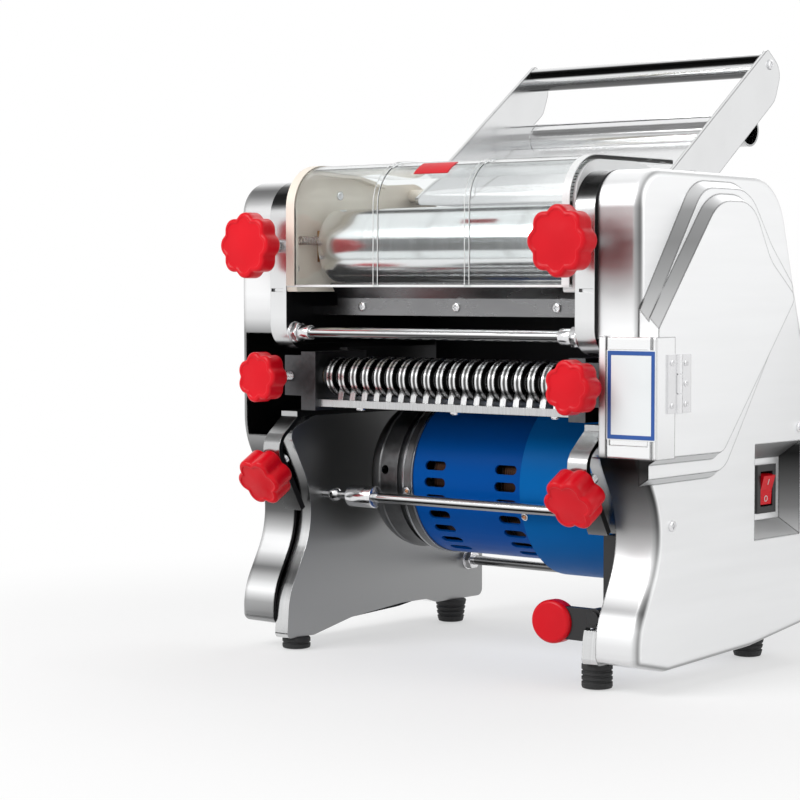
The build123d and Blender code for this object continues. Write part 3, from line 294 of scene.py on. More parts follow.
def relief(material, value, strength, depth, edge=0.0):
    """Bump from a texture value; edge also rounds sharp corners by that radius."""
    tree = material.node_tree
    bump = add(tree, "Bump", {"Height": value, "Strength": strength, "Distance": depth})
    if edge:
        bevel = add(tree, "Bevel", {"Radius": edge}, samples=4)
        tree.links.new(bevel.outputs["Normal"], bump.inputs["Normal"])
    feed(material, "Normal", bump.outputs["Normal"])


def shade(colour, factor):
    return tuple(min(1.0, channel * factor) for channel in colour)


def metal(name, colour, low, high, stretch, strength, depth, spread=0.05, edge=0.0005):
    """Bare metal: grain or polish marks in roughness, tone and relief."""
    material = surface(name, colour, metallic=1.0, roughness=(low + high) / 2)
    value = texture(material, stretch)
    vary_roughness(material, value, low, high)
    vary_colour(material, value, colour, spread)
    relief(material, value, strength, depth, edge)
    return material


SKIN_DEPTH = 0.0004
TONE_GRAIN = (18, 18, 18)


def moulded(name, colour, low, high, grain, strength, spread=0.08, edge=0.0006, **shine):
    """Moulded plastic, paint or rubber: fine skin texture and slight tone changes."""
    material = surface(name, colour, roughness=(low + high) / 2, **shine)
    value = texture(material, (grain, grain, grain), detail=3.0)
    vary_roughness(material, value, low, high)
    vary_colour(material, texture(material, TONE_GRAIN, detail=2.0), colour, spread)
    relief(material, value, strength, SKIN_DEPTH, edge)
    return material


def clear_plastic():
    """Clear guard plastic with faint waviness and dust in its gloss."""
    material = surface(
        "Clear guard plastic", (0.96, 0.985, 0.985), roughness=0.02, transmission_weight=1.0, ior=1.36
    )
    value = texture(material, (25, 25, 25), detail=2.0)
    vary_roughness(material, value, 0.01, 0.04)
    relief(material, value, 0.02, 0.001)
    return material


def multiply_colour(material, tone, share=1.0):
    """Multiplies the finish's colour by a tone, all over or by a share."""
    colour = fed_by(material, "Base Color")
    feed(material, "Base Color", mixed(material.node_tree, "RGBA", share, colour, tone, "MULTIPLY"))


def paint_shade_across(material, axis, colour, roughness, both=True):
    """Blends to a darker tone and duller roughness where the surface faces along an axis: painted shade.
    """
    tree = material.node_tree
    facing = work_out(tree, "DOT_PRODUCT", normal(tree), axis, kind="VectorMath")
    if both:
        facing = work_out(tree, "ABSOLUTE", facing)
    share = ranged(tree, facing, 0.80, 0.97)
    for socket, kind, value in (("Base Color", "RGBA", (*colour, 1)), ("Roughness", "FLOAT", roughness)):
        feed(material, socket, mixed(tree, kind, share, fed_by(material, socket), value))


def paint_shade_on_slopes(material):
    """Paints shade on rounded edges and pressed slopes by the way they face."""
    tree = material.node_tree
    facing = work_out(tree, "ABSOLUTE", part_of(tree, rounded_normal(tree), "X"))
    multiply_colour(material, ramp(tree, facing, SLOPE_PAINTED_SHADE))


def paint_shade_in_folds(material):
    """Paints a line of shade in every fold and along every edge."""
    tree = material.node_tree
    agree = work_out(tree, "DOT_PRODUCT", rounded_normal(tree), normal(tree), kind="VectorMath")
    multiply_colour(material, ramp(tree, agree, FOLD_PAINTED_SHADE))


def paint_tube_reflections(material, tones):
    """Paints reflections on a tube by the way it faces, with painted shade on its underside."""
    tree = material.node_tree
    multiply_colour(material, ramp(tree, ranged(tree, part_of(tree, normal(tree), "Z"), -1.0), tones))


def paint_reflection_bands(material, bands):
    """Paints broad dark and bright reflection bands across a bent front edge."""
    tree = material.node_tree
    height = ranged(tree, part_of(tree, object_point(tree), "Z"), 0.0, BAND_TOP * MM)
    share = ranged(tree, part_of(tree, normal(tree), "Y"), -0.15, -0.55)
    tones = ramp(tree, height, [(z / BAND_TOP, tone) for z, tone in bands])
    multiply_colour(material, tones, share)


def paint_roll_shade(material, y, z):
    """Paints shade on a cutter roll's core and deeper shade on the disc sides between the discs; the rims
    keep their tone.
    """
    tree = material.node_tree
    vectors = {"kind": "VectorMath", "result": "Vector"}
    offset = work_out(tree, "SUBTRACT", object_point(tree), place(0, y, z), **vectors)
    across = work_out(tree, "MULTIPLY", offset, (0, 1, 1), **vectors)
    reach = work_out(tree, "LENGTH", across, kind="VectorMath")
    share = work_out(tree, "DIVIDE", reach, ROLL_REACH * MM)
    tones = [(radius / ROLL_REACH, tone) for radius, tone in ROLL_PAINTED_SHADE]
    multiply_colour(material, ramp(tree, share, tones))


def paint_disc_reflections(material, first_x):
    """Paints a dark reflection line down the middle of every disc's rim, which leaves bright lines at its
    edges.
    """
    tree = material.node_tree
    distance = work_out(tree, "SUBTRACT", part_of(tree, object_point(tree), "X"), place(first_x, 0, 0).x)
    back = work_out(tree, "PINGPONG", distance, DISC_PITCH * MM / 2)
    share = work_out(tree, "DIVIDE", back, DISC_PITCH * MM)
    multiply_colour(material, ramp(tree, share, DISC_PAINTED_REFLECTION))


# values shared by like metals, in the order that the table below gives
COVER_STEEL = (0.38, 0.44, (9, 8, 120), 0.01, 0.0002, 0.012, 0.0016)
CHROME = (0.12, 0.16, (40, 260, 260), 0.02, 0.0003, 0.02)
DISC_STEEL = (0.22, 0.3, (60, 300, 300), 0.03, 0.0002, 0.04)

# name, colour or share of the steel's tone, then metal's values: roughness from and to, stretch,
# strength and depth of the relief, spread of the tone, edge radius
METALS = {
    "polished": ("Polished steel", 1.0, 0.20, 0.26, (14, 14, 14), 0.02, 0.001, 0.02),
    "panel": ("Stand steel", 0.95, 0.14, 0.22, (700, 6, 9), 0.03, 0.0004),
    "left cover": ("Left cover steel", 1.0, *COVER_STEEL),
    "right cover": ("Right cover steel", 1.0, *COVER_STEEL),
    "sheet": ("Satin sheet steel", 1.0, 0.22, 0.28, (9, 120, 8), 0.01, 0.0002, 0.012, 0.0012),
    # the arms' steel is a darker copy of the steel's tone: painted shade for their greyer reflections
    "arm": ("Handle arm steel", 0.86, 0.16, 0.22, (30, 30, 30), 0.02, 0.0003, 0.02, 0.0012),
    "inner": ("Rear sheet steel", 1.0, 0.24, 0.32, (9, 8, 120), 0.01, 0.0002, 0.02),
    "rods": ("Chromed rods", 1.0, *CHROME),
    "guide": ("Chromed guide", 1.0, *CHROME),
    "grip": ("Chromed grip", 1.0, *CHROME),
    "front disc": ("Front disc steel", 0.95, *DISC_STEEL),
    "rear disc": ("Rear disc steel", 0.95, *DISC_STEEL),
    "ground": ("Ground roller steel", 0.96, 0.15, 0.2, (900, 5, 5), 0.02, 0.0001, 0.02),
    "strip": ("Blued strip steel", (0.24, 0.24, 0.245), 0.22, 0.30, (20, 60, 60), 0.02, 0.0002, 0.08),
    "hinge": ("Hinge steel", (0.78, 0.78, 0.79), 0.22, 0.30, (60, 60, 90), 0.01, 0.0002, 0.02),
    "bar": ("Comb steel", 0.62, 0.24, 0.34, (500, 9, 9), 0.05, 0.0002, 0.06),
    "zinc": ("Zinc plated steel", (0.78, 0.78, 0.79), 0.14, 0.26, (300, 300, 300), 0.06, 0.0002),
    "gear": ("Machined gear steel", (0.42, 0.42, 0.44), 0.25, 0.38, (500, 60, 60), 0.1, 0.0002),
    "block": ("Cast cutter block", (0.10, 0.10, 0.104), 0.36, 0.48, (240, 240, 240), 0.2, 0.0003, 0.12),
    "bronze": ("Bearing bronze", (0.70, 0.47, 0.22), 0.25, 0.4, (300, 300, 300), 0.1, 0.0002),
    "cast": ("Cast end bell", (0.15, 0.152, 0.155), 0.28, 0.40, (160, 160, 160), 0.12, 0.0004, 0.12),
    "bare cast": ("Machined bell rim", (0.36, 0.37, 0.38), 0.22, 0.32, (300, 40, 40), 0.1, 0.0003),
    "lamination": ("Stator steel", (0.20, 0.20, 0.21), 0.35, 0.5, (2000, 20, 20), 0.3, 0.0003),
    "copper": ("Copper fittings", (0.80, 0.42, 0.24), 0.2, 0.35, (80, 300, 300), 0.1, 0.0003),
    # the wire is coloured near black, far darker than copper: a dark varnish tint and painted shade
    # inside the motor
    "winding": (
        "Varnished copper wire", (0.035, 0.018, 0.012), 0.3, 0.45, (80, 900, 900), 0.3, 0.0004, 0.3,
    ),
    "spring": ("Spring wire", (0.5, 0.48, 0.46), 0.2, 0.3, (300, 300, 300), 0.05, 0.0002),
}

# name, colour or the setting that gives it, then moulded's values: roughness from and to, grain,
# strength of the relief, spread of the tone, edge radius
MOULDINGS = {
    "red": ("Red moulded plastic", "red", 0.28, 0.36, 300, 0.03, 0.08, 0.0004),
    "blue": ("Blue casing paint", "blue", 0.30, 0.36, 60, 0.01, 0.02),
    "light blue": ("Blue housing paint", "light_blue", 0.32, 0.38, 60, 0.01, 0.02),
    "black paint": ("Black satin paint", (0.012, 0.012, 0.013), 0.30, 0.42, 600, 0.1),
    "black plastic": ("Black switch plastic", (0.014, 0.014, 0.015), 0.28, 0.40, 900, 0.1),
    "rubber": ("Foot rubber", (0.016, 0.016, 0.017), 0.55, 0.75, 900, 0.25),
    "cream": ("Cream moulded cap", "cream", 0.30, 0.42, 350, 0.05),
    "white": ("White moulded cap", (0.78, 0.79, 0.79), 0.30, 0.42, 350, 0.05),
    "label": ("Label field", (0.86, 0.90, 0.91), 0.28, 0.36, 700, 0.03, 0.03),
    "label edge": ("Label border", "label", 0.28, 0.36, 700, 0.03),
    "edge white": ("Guard edge", (0.84, 0.85, 0.85), 0.2, 0.3, 700, 0.03, 0.03),
    "marks": ("Switch mark", (0.85, 0.85, 0.85), 0.35, 0.45, 900, 0.03),
}
SHINE = {
    "red": {"coat_weight": 0.05, "coat_roughness": 0.14, "specular_ior_level": 0.20},
    "blue": {"specular_ior_level": 0.04},
    "light blue": {"specular_ior_level": 0.04},
}


def make_finishes(colours):
    """Every finish of the machine, by name."""
    steel = tuple(colours.steel)
    made = {"clear": clear_plastic()}
    for finish, (name, tone, *values) in METALS.items():
        made[finish] = metal(name, tone if isinstance(tone, tuple) else shade(steel, tone), *values)
    for finish, (name, tone, *values) in MOULDINGS.items():
        colour = tone if isinstance(tone, tuple) else tuple(getattr(colours, tone))
        made[finish] = moulded(name, colour, *values, **SHINE.get(finish, {}))

    for finish, bands, inward in (
        ("left cover", LEFT_COVER_PAINTED_REFLECTIONS, 1),
        ("right cover", RIGHT_COVER_PAINTED_REFLECTIONS, -1),
    ):
        # painted shade on the covers' slopes and rounded edges
        paint_shade_on_slopes(made[finish])
        # painted shade in the covers' folds and along their edges
        paint_shade_in_folds(made[finish])
        # painted reflection bands across the covers' front edges
        paint_reflection_bands(made[finish], bands)
        # painted shade on the covers' inner faces
        paint_shade_across(made[finish], (inward, 0, 0), INSIDE_PAINTED_SHADE, 0.5, both=False)
    # painted reflection bands across the frames' front edges
    paint_reflection_bands(made["polished"], FRAME_PAINTED_REFLECTIONS)
    # painted shade on the frames' inner faces
    paint_shade_across(made["polished"], (1, 0, 0), INSIDE_PAINTED_SHADE, 0.5)
    # painted shade on the stand panels' flat sides, for their dark reflections
    paint_shade_across(made["panel"], (1, 0, 0), shade(steel, 0.38), 0.32)
    # painted reflection bands across the stand panels' front edges
    paint_reflection_bands(made["panel"], FRAME_PAINTED_REFLECTIONS)
    # painted shade in the folds and along the edges of the sheet and the arms
    paint_shade_in_folds(made["sheet"])
    paint_shade_in_folds(made["arm"])
    # painted shade on the rear sheet's side towards the machine
    paint_shade_across(made["inner"], (0, -1, 0), CHUTE_PAINTED_SHADE, 0.5, both=False)
    # painted reflections and painted shade on the rods, guide and grip
    for finish, tones in TUBE_PAINTED_REFLECTIONS.items():
        paint_tube_reflections(made[finish], tones)
    for finish, (first_x, y, z) in CUTTER_AXES.items():
        # painted dark reflection line down every disc's rim
        paint_disc_reflections(made[finish], first_x)
        # painted shade on the cutter rolls' cores and disc sides
        paint_roll_shade(made[finish], y, z)
    return made


FINISH_OF = {
    "polished": "left_side_frame right_side_frame",
    "panel": "left_stand_panel right_stand_panel",
    "left cover": "left_cover",
    "right cover": "gearbox_cover",
    "sheet": "feed_chute cutter_flap",
    "inner": "rear_panel",
    "hinge": "hinge_fixed_leaf hinge_moving_leaf",
    "arm": "handle_arms",
    "rods": "tie_rods",
    "guide": "guide_bar",
    "grip": "handle_grip",
    "ground": "front_dough_roller rear_dough_roller",
    "front disc": "front_cutter_roll",
    "rear disc": "rear_cutter_roll",
    "strip": "front_scraper rear_scraper",
    "bar": "front_cutter_comb rear_cutter_comb",
    "zinc": "machine_screws tie_rod_nuts idler_studs hinge_pin",
    "gear": "front_roller_gear rear_roller_gears front_cutter_gear rear_cutter_gears "
    "upper_idler_gear lower_idler_gear cutter_idler_gear motor_rotor",
    "block": "left_cutter_block right_cutter_block",
    "bronze": "bronze_bushes bearing_blocks",
    "cast": "motor_end_bell",
    "lamination": "motor_stator",
    "blue": "motor_casing",
    "light blue": "drive_housing",
    "black paint": "lever_bracket clutch_lever",
    "black plastic": "power_inlet switch_frame",
    "rubber": "rubber_feet",
    "cream": "left_end_cap",
    "white": "right_end_cap run_capacitor",
    "clear": "roller_guard",
    "red": "left_thickness_knob right_thickness_knob left_cutter_knob right_cutter_knob "
    "left_clamp_knob right_clamp_knob switch_rocker lever_cap",
}

finishes = {}


def dress(obj, finish):
    obj.data.materials.clear()
    obj.data.materials.append(finishes[finish])


# ---- mesh helpers


def add_object(name, data):
    obj = bpy.data.objects.new(name, data)
    bpy.context.scene.collection.objects.link(obj)
    return obj


def new_piece(name, finish, body, slot, sharp, build, *values):
    """Makes a piece from a form's function and its values, and lets it ride on a CAD body.

    Edges over the sharp angle, in degrees, stay crisp.
    """
    shape = bmesh.new()
    build(shape, *values)
    bmesh.ops.recalc_face_normals(shape, faces=shape.faces)
    mesh = bpy.data.meshes.new(name)
    shape.to_mesh(mesh)
    shape.free()
    if sharp:
        mesh.set_sharp_from_angle(angle=math.radians(sharp))
    for polygon in mesh.polygons:
        polygon.use_smooth = True
    obj = add_object(name, mesh)
    dress(obj, finish)
    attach(obj, body)
    return obj


def loft(shape, rings, closed=False, capped=False):
    """Skins rings of points one after the other. A ring of one point makes a tip."""
    rings = [[shape.verts.new(point) for point in ring] for ring in rings]
    if closed:
        rings.append(rings[0])
    count = max(len(ring) for ring in rings)
    for low, high in zip(rings, rings[1:]):
        for step in range(count):
            after = (step + 1) % count
            if len(low) == 1:
                shape.faces.new((low[0], high[step], high[after]))
            elif len(high) == 1:
                shape.faces.new((low[step], high[0], low[after]))
            else:
                shape.faces.new((low[step], high[step], high[after], low[after]))
    if capped:
        shape.faces.new(rings[0])
        shape.faces.new(rings[-1])


def aim(point, direction):
    """Matrix whose local Z points along direction from point."""
    turn = Vector((0, 0, 1)).rotation_difference(Vector(direction).normalized())
    return Matrix.Translation(point) @ turn.to_matrix().to_4x4()


def raised(matrix, height):
    """The same matrix, moved along its local Z."""
    return matrix @ Matrix.Translation((0, 0, height * MM))


def even_angles(count):
    return [2 * math.pi * step / count for step in range(count)]


def ring_at(matrix, reach, height, angles):
    """Ring of points about local Z; reach gives the distance at each angle."""
    points = []
    for angle in angles:
        distance = reach(angle) * MM
        point = (distance * math.cos(angle), distance * math.sin(angle), height * MM)
        points.append(matrix @ Vector(point))
    return points


def islands(node):
    """Box of each separate solid of a CAD node, in a fixed order."""
    shape = bmesh.new()
    shape.from_mesh(nodes[node].data)
    bmesh.ops.remove_doubles(shape, verts=shape.verts, dist=1e-6)
    seen, boxes = set(), []
    for first in shape.verts:
        if first in seen:
            continue
        seen.add(first)
        group, todo = [], [first]
        while todo:
            vertex = todo.pop()
            group.append(vertex.co.copy())
            for edge in vertex.link_edges:
                other = edge.other_vert(vertex)
                if other not in seen:
                    seen.add(other)
                    todo.append(other)
        low = Vector([min(point[axis] for point in group) for axis in range(3)])
        high = Vector([max(point[axis] for point in group) for axis in range(3)])
        boxes.append((low, high))
    shape.free()
    return sorted(boxes, key=lambda box: tuple(round(value, 4) for value in box[0]))


# ---- small forms


def turned(shape, matrix, profile, segments, closed=False):
    """Turned form about local Z from (radius, height) points. A radius of 0 makes a tip."""
    rings = [
        ring_at(matrix, lambda angle: radius, height, even_angles(segments) if radius else [0])
        for radius, height in profile
    ]
    loft(shape, rings, closed)


def sleeve_profile(length, radius, bore, edge=0.6):
    """Closed profile of a sleeve with rounded outer edges."""
    return [
        (bore, 0), (radius - edge, 0), (radius - 0.3 * edge, 0.3 * edge), (radius, edge),
        (radius, length - edge), (radius - 0.3 * edge, length - 0.3 * edge), (radius - edge, length),
        (bore, length),
    ]


CROSS_ARM, CROSS_REACH = 0.15, 0.55  # half width and length of a recess arm by the head's radius
CROSS_CORNER = math.atan2(CROSS_ARM, CROSS_REACH)
# share of the head's radius and of its height: outside of the head, then its recess
HEAD_PROFILE = ((1, 0), (1, 0.34), (0.97, 0.62), (0.86, 0.86), (0.70, 0.97))
RECESS_PROFILE = ((1, 1), (0.82, 0.36))
RECESS_FLOOR = 0.3


def cross_reach(angle):
    """Outline of a cross recess, as a share of the head's radius."""
    off = angle % (math.pi / 2)
    off = min(off, math.pi / 2 - off)
    if off <= CROSS_CORNER + 1e-6:
        return CROSS_REACH / math.cos(off)
    return CROSS_ARM / math.sin(off)


def cross_angles():
    middle = math.pi / 4
    half = (CROSS_CORNER + middle) / 2
    quarter = [0, CROSS_CORNER, half, middle, 2 * middle - half, 2 * middle - CROSS_CORNER]
    return [turn * math.pi / 2 + angle for turn in range(4) for angle in quarter]


def pan_head(shape, matrix, radius, height):
    """Pan head with a cross recess, its seat at local Z 0."""
    angles = cross_angles()
    rings = [[matrix @ Vector((0, 0, 0))]]
    for profile, reach in ((HEAD_PROFILE, lambda angle: 1), (RECESS_PROFILE, cross_reach)):
        for share, rise in profile:
            rings.append(ring_at(matrix, lambda a: radius * share * reach(a), height * rise, angles))
    rings.append([matrix @ Vector((0, 0, height * RECESS_FLOOR * MM))])
    loft(shape, rings)


def pan_heads(shape, seats, direction, radius, height):
    """Pan heads on seats of the layout, all facing one way."""
    for seat in seats:
        pan_head(shape, aim(place(*seat), direction), radius, height)


def nut(shape, matrix, across, height, bore):
    """Hex nut with turned chamfers, from local Z 0 to its height."""
    sixth = math.pi / 3
    flat = across / 2 * 0.97

    def hexagon(angle):
        return across / 2 / math.cos((angle + sixth / 2) % sixth - sixth / 2)

    def chamfer(angle):
        return min(hexagon(angle), flat + 0.75)

    half = [(0, lambda angle: bore), (0, lambda angle: flat), (0.5, chamfer), (1.1, hexagon)]
    levels = half + [(height - at, reach) for at, reach in reversed(half)]
    loft(shape, [ring_at(matrix, reach, at, even_angles(48)) for at, reach in levels], closed=True)


def rectangle_ring(matrix, width, height, radius, inset, at, per_corner=6):
    """Ring of points on a rounded rectangle round the middle, at a local height."""
    points = []
    w, h, r = width / 2 - inset, height / 2 - inset, max(radius - inset, 0.05)
    for turn, (cx, cy) in enumerate(((w - r, h - r), (r - w, h - r), (r - w, r - h), (w - r, r - h))):
        for step in range(per_corner):
            angle = (turn + step / (per_corner - 1)) * math.pi / 2
            x, y = cx + r * math.cos(angle), cy + r * math.sin(angle)
            points.append(matrix @ Vector((x * MM, y * MM, at * MM)))
    return points


def plate(shape, matrix, width, height, thick, radius, edge=0.12):
    """Thin rounded plate with a small edge radius, back at local Z 0."""
    levels = ((edge, 0), (0, edge), (0, thick - edge), (edge, thick), (3 * edge, thick))
    rings = [rectangle_ring(matrix, width, height, radius, inset, at) for inset, at in levels]
    loft(shape, [[matrix @ Vector((0, 0, 0))], *rings, [matrix @ Vector((0, 0, thick * MM))]])


def border(shape, matrix, width, height, line, thick, radius):
    """Rounded rectangular line, back at local Z 0."""
    levels = ((0, 0), (0, thick), (line, thick), (line, 0))
    rings = [rectangle_ring(matrix, width, height, radius, inset, at) for inset, at in levels]
    loft(shape, rings, closed=True)


def neighbours(path):
    """Each point of a path with the points before and after it."""
    return zip(path, [path[0], *path], [*path[1:], path[-1]])


def strips_along(shape, path, spans, proud):
    """Thin raised lines between pairs of x that follow a path of (y, z) points of the layout."""
    for x0, x1 in spans:
        rings = []
        for (y, z), before, after in neighbours(path):
            run = Vector((after[0] - before[0], after[1] - before[1])).normalized()
            out = Vector((-run.y, run.x)) * proud
            corners = ((x0, 0), (x0, 1), (x1, 1), (x1, 0))
            rings.append([place(x, y + out.x * side, z + out.y * side) for x, side in corners])
        loft(shape, rings, capped=True)


def coil_path(turns, radius, length, per_turn=20):
    """Points of a compression spring along local Z, its end turns closed up."""
    points = []
    count = turns * per_turn
    for step in range(count + 1):
        share = step / count
        height = length * (share * share * (3 - 2 * share) * 0.35 + share * 0.65)
        turn = 2 * math.pi * turns * share
        points.append(Vector((radius * math.cos(turn), radius * math.sin(turn), height)) * MM)
    return points


def wire(shape, matrix, path, radius, segments=10):
    """Round wire along a path of points."""
    rings = []
    for point, before, after in neighbours(path):
        run = (after - before).normalized()
        out = Vector((point.x, point.y, 0)).normalized()
        side = run.cross(out).normalized()
        around = [out * math.cos(angle) + side * math.sin(angle) for angle in even_angles(segments)]
        rings.append([matrix @ (point + way * radius * MM) for way in around])
    loft(shape, rings, capped=True)


def thread(shape, matrix, radius, start, end, pitch=1.25):
    """Threaded stud along local Z between two heights."""
    profile = [(0, start), (radius * 0.82, start)]
    turns = int(abs(end - start) / pitch)
    step = (end - start) / turns
    for turn in range(turns):
        base = start + turn * step
        profile += [(radius * 0.86, base + 0.12 * step), (radius, base + 0.45 * step)]
        profile += [(radius, base + 0.55 * step), (radius * 0.86, base + 0.88 * step)]
    turned(shape, matrix, [*profile, (radius * 0.82, end), (0, end)], 28)


def winding_profile(x0, x1, inner, outer):
    """Outline of a wound coil ring, with a ridge for each layer of wire."""
    middle_r, middle_x = (inner + outer) / 2, (x0 + x1) / 2
    half_r, half_x = (outer - inner) / 2, (x1 - x0) / 2
    points = []
    for angle in even_angles(160):
        c, s = math.cos(angle), math.sin(angle)
        power = (abs(c) ** 4 + abs(s) ** 4) ** -0.25
        ridge = 0.35 * abs(math.sin(20 * angle))
        radius = middle_r + half_r * power * c + ridge * c
        points.append((radius, middle_x + half_x * power * s + ridge * s))
    return points


def guard_arc(front, first, last, count):
    """Points (y, z) round the guard's bend between two angles in degrees."""
    radius = BEND_Y - front
    turns = [math.radians(first + (last - first) * step / count) for step in range(count + 1)]
    return [(BEND_Y - radius * math.cos(turn), BEND_Z + radius * math.sin(turn)) for turn in turns]


def guard_path(front):
    """Points (y, z) along the guard's face, whose straight front stands at y = front."""
    straight = [(front, z) for z in (281.5, 300, 320, BEND_Z)]
    top = [(y, BEND_Z + BEND_Y - front) for y in (60, 90, 121)]
    return straight + guard_arc(front, 7.5, 90, 11) + top


# ---- knobs

KNOB_STYLES = {
    "thickness": dict(
        lobes=8, lobe_radius=8.6, lobe_centre=16.35, thickness=15.0, stud=5.0, stud_length=52.7
    ),
    "cutter": dict(
        lobes=7, lobe_radius=7.6, lobe_centre=11.85, thickness=16.0, stud=4.0, stud_length=29.0
    ),
    "clamp": dict(
        lobes=6, lobe_radius=8.4, lobe_centre=12.05, thickness=19.0, stud=4.0, stud_length=14.0
    ),
}
KNOB_BODIES = {"thickness": "thickness_adjuster", "cutter": "cutter_clamp", "clamp": "stand_clamp"}
VALLEY_STEP = math.radians(3.0)
VALLEY_WEIGHTS = ((-2, 1), (-1, 2), (0, 3), (1, 2), (2, 1))


def lobe_reach(style, angle):
    """Distance from the axis to the outline at an angle, for a ring of round lobes."""
    pitch = 2 * math.pi / style["lobes"]
    off = (angle + pitch / 2) % pitch - pitch / 2
    centre, round_radius = style["lobe_centre"], style["lobe_radius"]
    return centre * math.cos(off) + math.sqrt(round_radius**2 - (centre * math.sin(off)) ** 2)


def soft_reach(style, angle):
    """The same outline with its valleys rounded."""
    return sum(weight * lobe_reach(style, angle + VALLEY_STEP * at) for at, weight in VALLEY_WEIGHTS) / 9


def knob(shape, matrix, style, edge, crown):
    """Lobed knob along local Z, back face at 0: hub, flank, rounded edge, rim and dished face."""
    t = style["thickness"]
    middle = style["lobe_centre"] + 0.6 * style["lobe_radius"]
    face = t - 0.25 * crown
    # lobing from round (0) to full (1), share of the radius, inset in mm, height in mm
    levels = [
        (0, 0, 0, -HUB_DEPTH),
        (0, 0.44, 0, -HUB_DEPTH),
        (0, 0.48, 0, 0.5 - HUB_DEPTH),
        (0, 0.48, 0, -0.2),
        (0.3, 0.60, 0, 0.1),
        (0.9, 0.92, 0.3, 0.1),
        (1, 1, 1.1, 0.2),
        (1, 1, 0.3, 0.7),
        (1, 1, 0, 1.6),
        (1, 1, 0, 0.35 * t),
        (1, 1, 0, 0.6 * t),
        (1, 1, 0, face - edge),
        (1, 1, 0.12 * edge, face - 0.55 * edge),
        (1, 1, 0.40 * edge, face - 0.22 * edge),
        (1, 1, 0.75 * edge, face - 0.04 * edge),
        (1, 1, 1.05 * edge, face),
        (1, 1, 1.05 * edge + 0.9, t - 0.04 * crown),
        (1, 1, 1.05 * edge + 1.3, t - 0.20 * crown),
        (1, 1, 1.05 * edge + 1.7, t - 0.50 * crown),
        (1, 0.93, edge + 1.0, t - 0.56 * crown),
        (0.85, 0.75, edge, t - 0.50 * crown),
        (0.5, 0.52, 0.5 * edge, t - 0.30 * crown),
        (0.2, 0.32, 0, t - 0.12 * crown),
        (0, 0.15, 0, t - 0.03 * crown),
        (0, 0, 0, t),
    ]
    angles = even_angles(style["lobes"] * 18)
    rings = []
    for lobing, share, inset, height in levels:

        def reach(angle):
            return ((1 - lobing) * middle + lobing * soft_reach(style, angle)) * share - inset

        rings.append(ring_at(matrix, reach, height, angles if share else [0]))
    loft(shape, rings)


def knob_place(kind, side):
    """Matrix of a knob's back face."""
    if kind == "clamp":
        low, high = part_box(f"{side}_{kind}_knob")
        axis = Vector((0, -math.cos(CLAMP_TILT), -math.sin(CLAMP_TILT)))
        back = place(0, *CLAMP_SEAT) + axis * CLAMP_GAP * MM
        return aim(Vector(((low.x + high.x) / 2, back.y, back.z)), axis)
    return aim(place(KNOB_X if side == "right" else -KNOB_X, *KNOB_BACKS[kind]), (0, -1, 0))


# ---- settings


COLOUR_LIMITS = {"subtype": "COLOR", "min": 0, "max": 1}


class SheeterColours(bpy.types.PropertyGroup):
    steel: bpy.props.FloatVectorProperty(
        name="Steel", description="Tone of the polished steel",
        default=(0.90, 0.905, 0.91), **COLOUR_LIMITS,
    )
    red: bpy.props.FloatVectorProperty(
        name="Knob red", description="Colour of knobs, rocker and lever cap",
        default=(0.68, 0.002, 0.011), **COLOUR_LIMITS,
    )
    blue: bpy.props.FloatVectorProperty(
        name="Motor blue", description="Colour of the motor's paint",
        default=(0.0006, 0.080, 0.36), **COLOUR_LIMITS,
    )
    light_blue: bpy.props.FloatVectorProperty(
        name="Housing blue", description="Colour of the drive housing's paint",
        default=(0.001, 0.120, 0.40), **COLOUR_LIMITS,
    )
    cream: bpy.props.FloatVectorProperty(
        name="Cap cream", description="Colour of the left roller cap",
        default=(0.96, 0.87, 0.76), **COLOUR_LIMITS,
    )
    label: bpy.props.FloatVectorProperty(
        name="Label border", description="Colour of the label's border line",
        default=(0.012, 0.085, 0.36), **COLOUR_LIMITS,
    )


class SheeterSizes(bpy.types.PropertyGroup):
    knob_crown: bpy.props.FloatProperty(
        name="Knob crown", description="Depth of a knob's dished face", default=0.0012, unit="LENGTH",
    )
    knob_edge: bpy.props.FloatProperty(
        name="Knob edge", description="Width of the rounded edge of a knob", default=0.0022,
        unit="LENGTH",
    )
    label_line: bpy.props.FloatProperty(
        name="Label line", description="Width of the label's border line", default=0.0029,
        unit="LENGTH",
    )
    lamp_light: bpy.props.FloatProperty(
        name="Lamp light", description="Power of the largest lamp", default=15.0, unit="POWER",
    )
    room_light: bpy.props.FloatProperty(
        name="Room light", description="Strength of the surrounding light", default=0.45,
    )


class SheeterSettings(bpy.types.PropertyGroup):
    colours: bpy.props.PointerProperty(type=SheeterColours)
    sizes: bpy.props.PointerProperty(type=SheeterSizes)


# ---- stage

CAMERA_PLACE = (1086.47, -1324.09, 282.05)
CAMERA_TILT, CAMERA_TURN = math.radians(87.2), math.radians(40)
LAMP_TARGET = (0, 80, 200)
# name, place in the layout, width in metres, share of the lamp power
LAMPS = [
    ("Key lamp", (-500, -1100, 1100), 1.0, 1.0),
    ("Fill lamp", (1500, 300, 900), 1.2, 0.35),
    ("Rear lamp", (-200, 1300, 1200), 1.2, 0.35),
]
FLOOR_HALF, FLOOR_Z = 6.0, -0.0005
WHITE = (1, 1, 1, 1)


def spanned(x0, x1, low, high):
    """Corners of a card between two x, from one (y, z) line to another."""
    return ((x0, *low), (x1, *low), (x1, *high), (x0, *high))


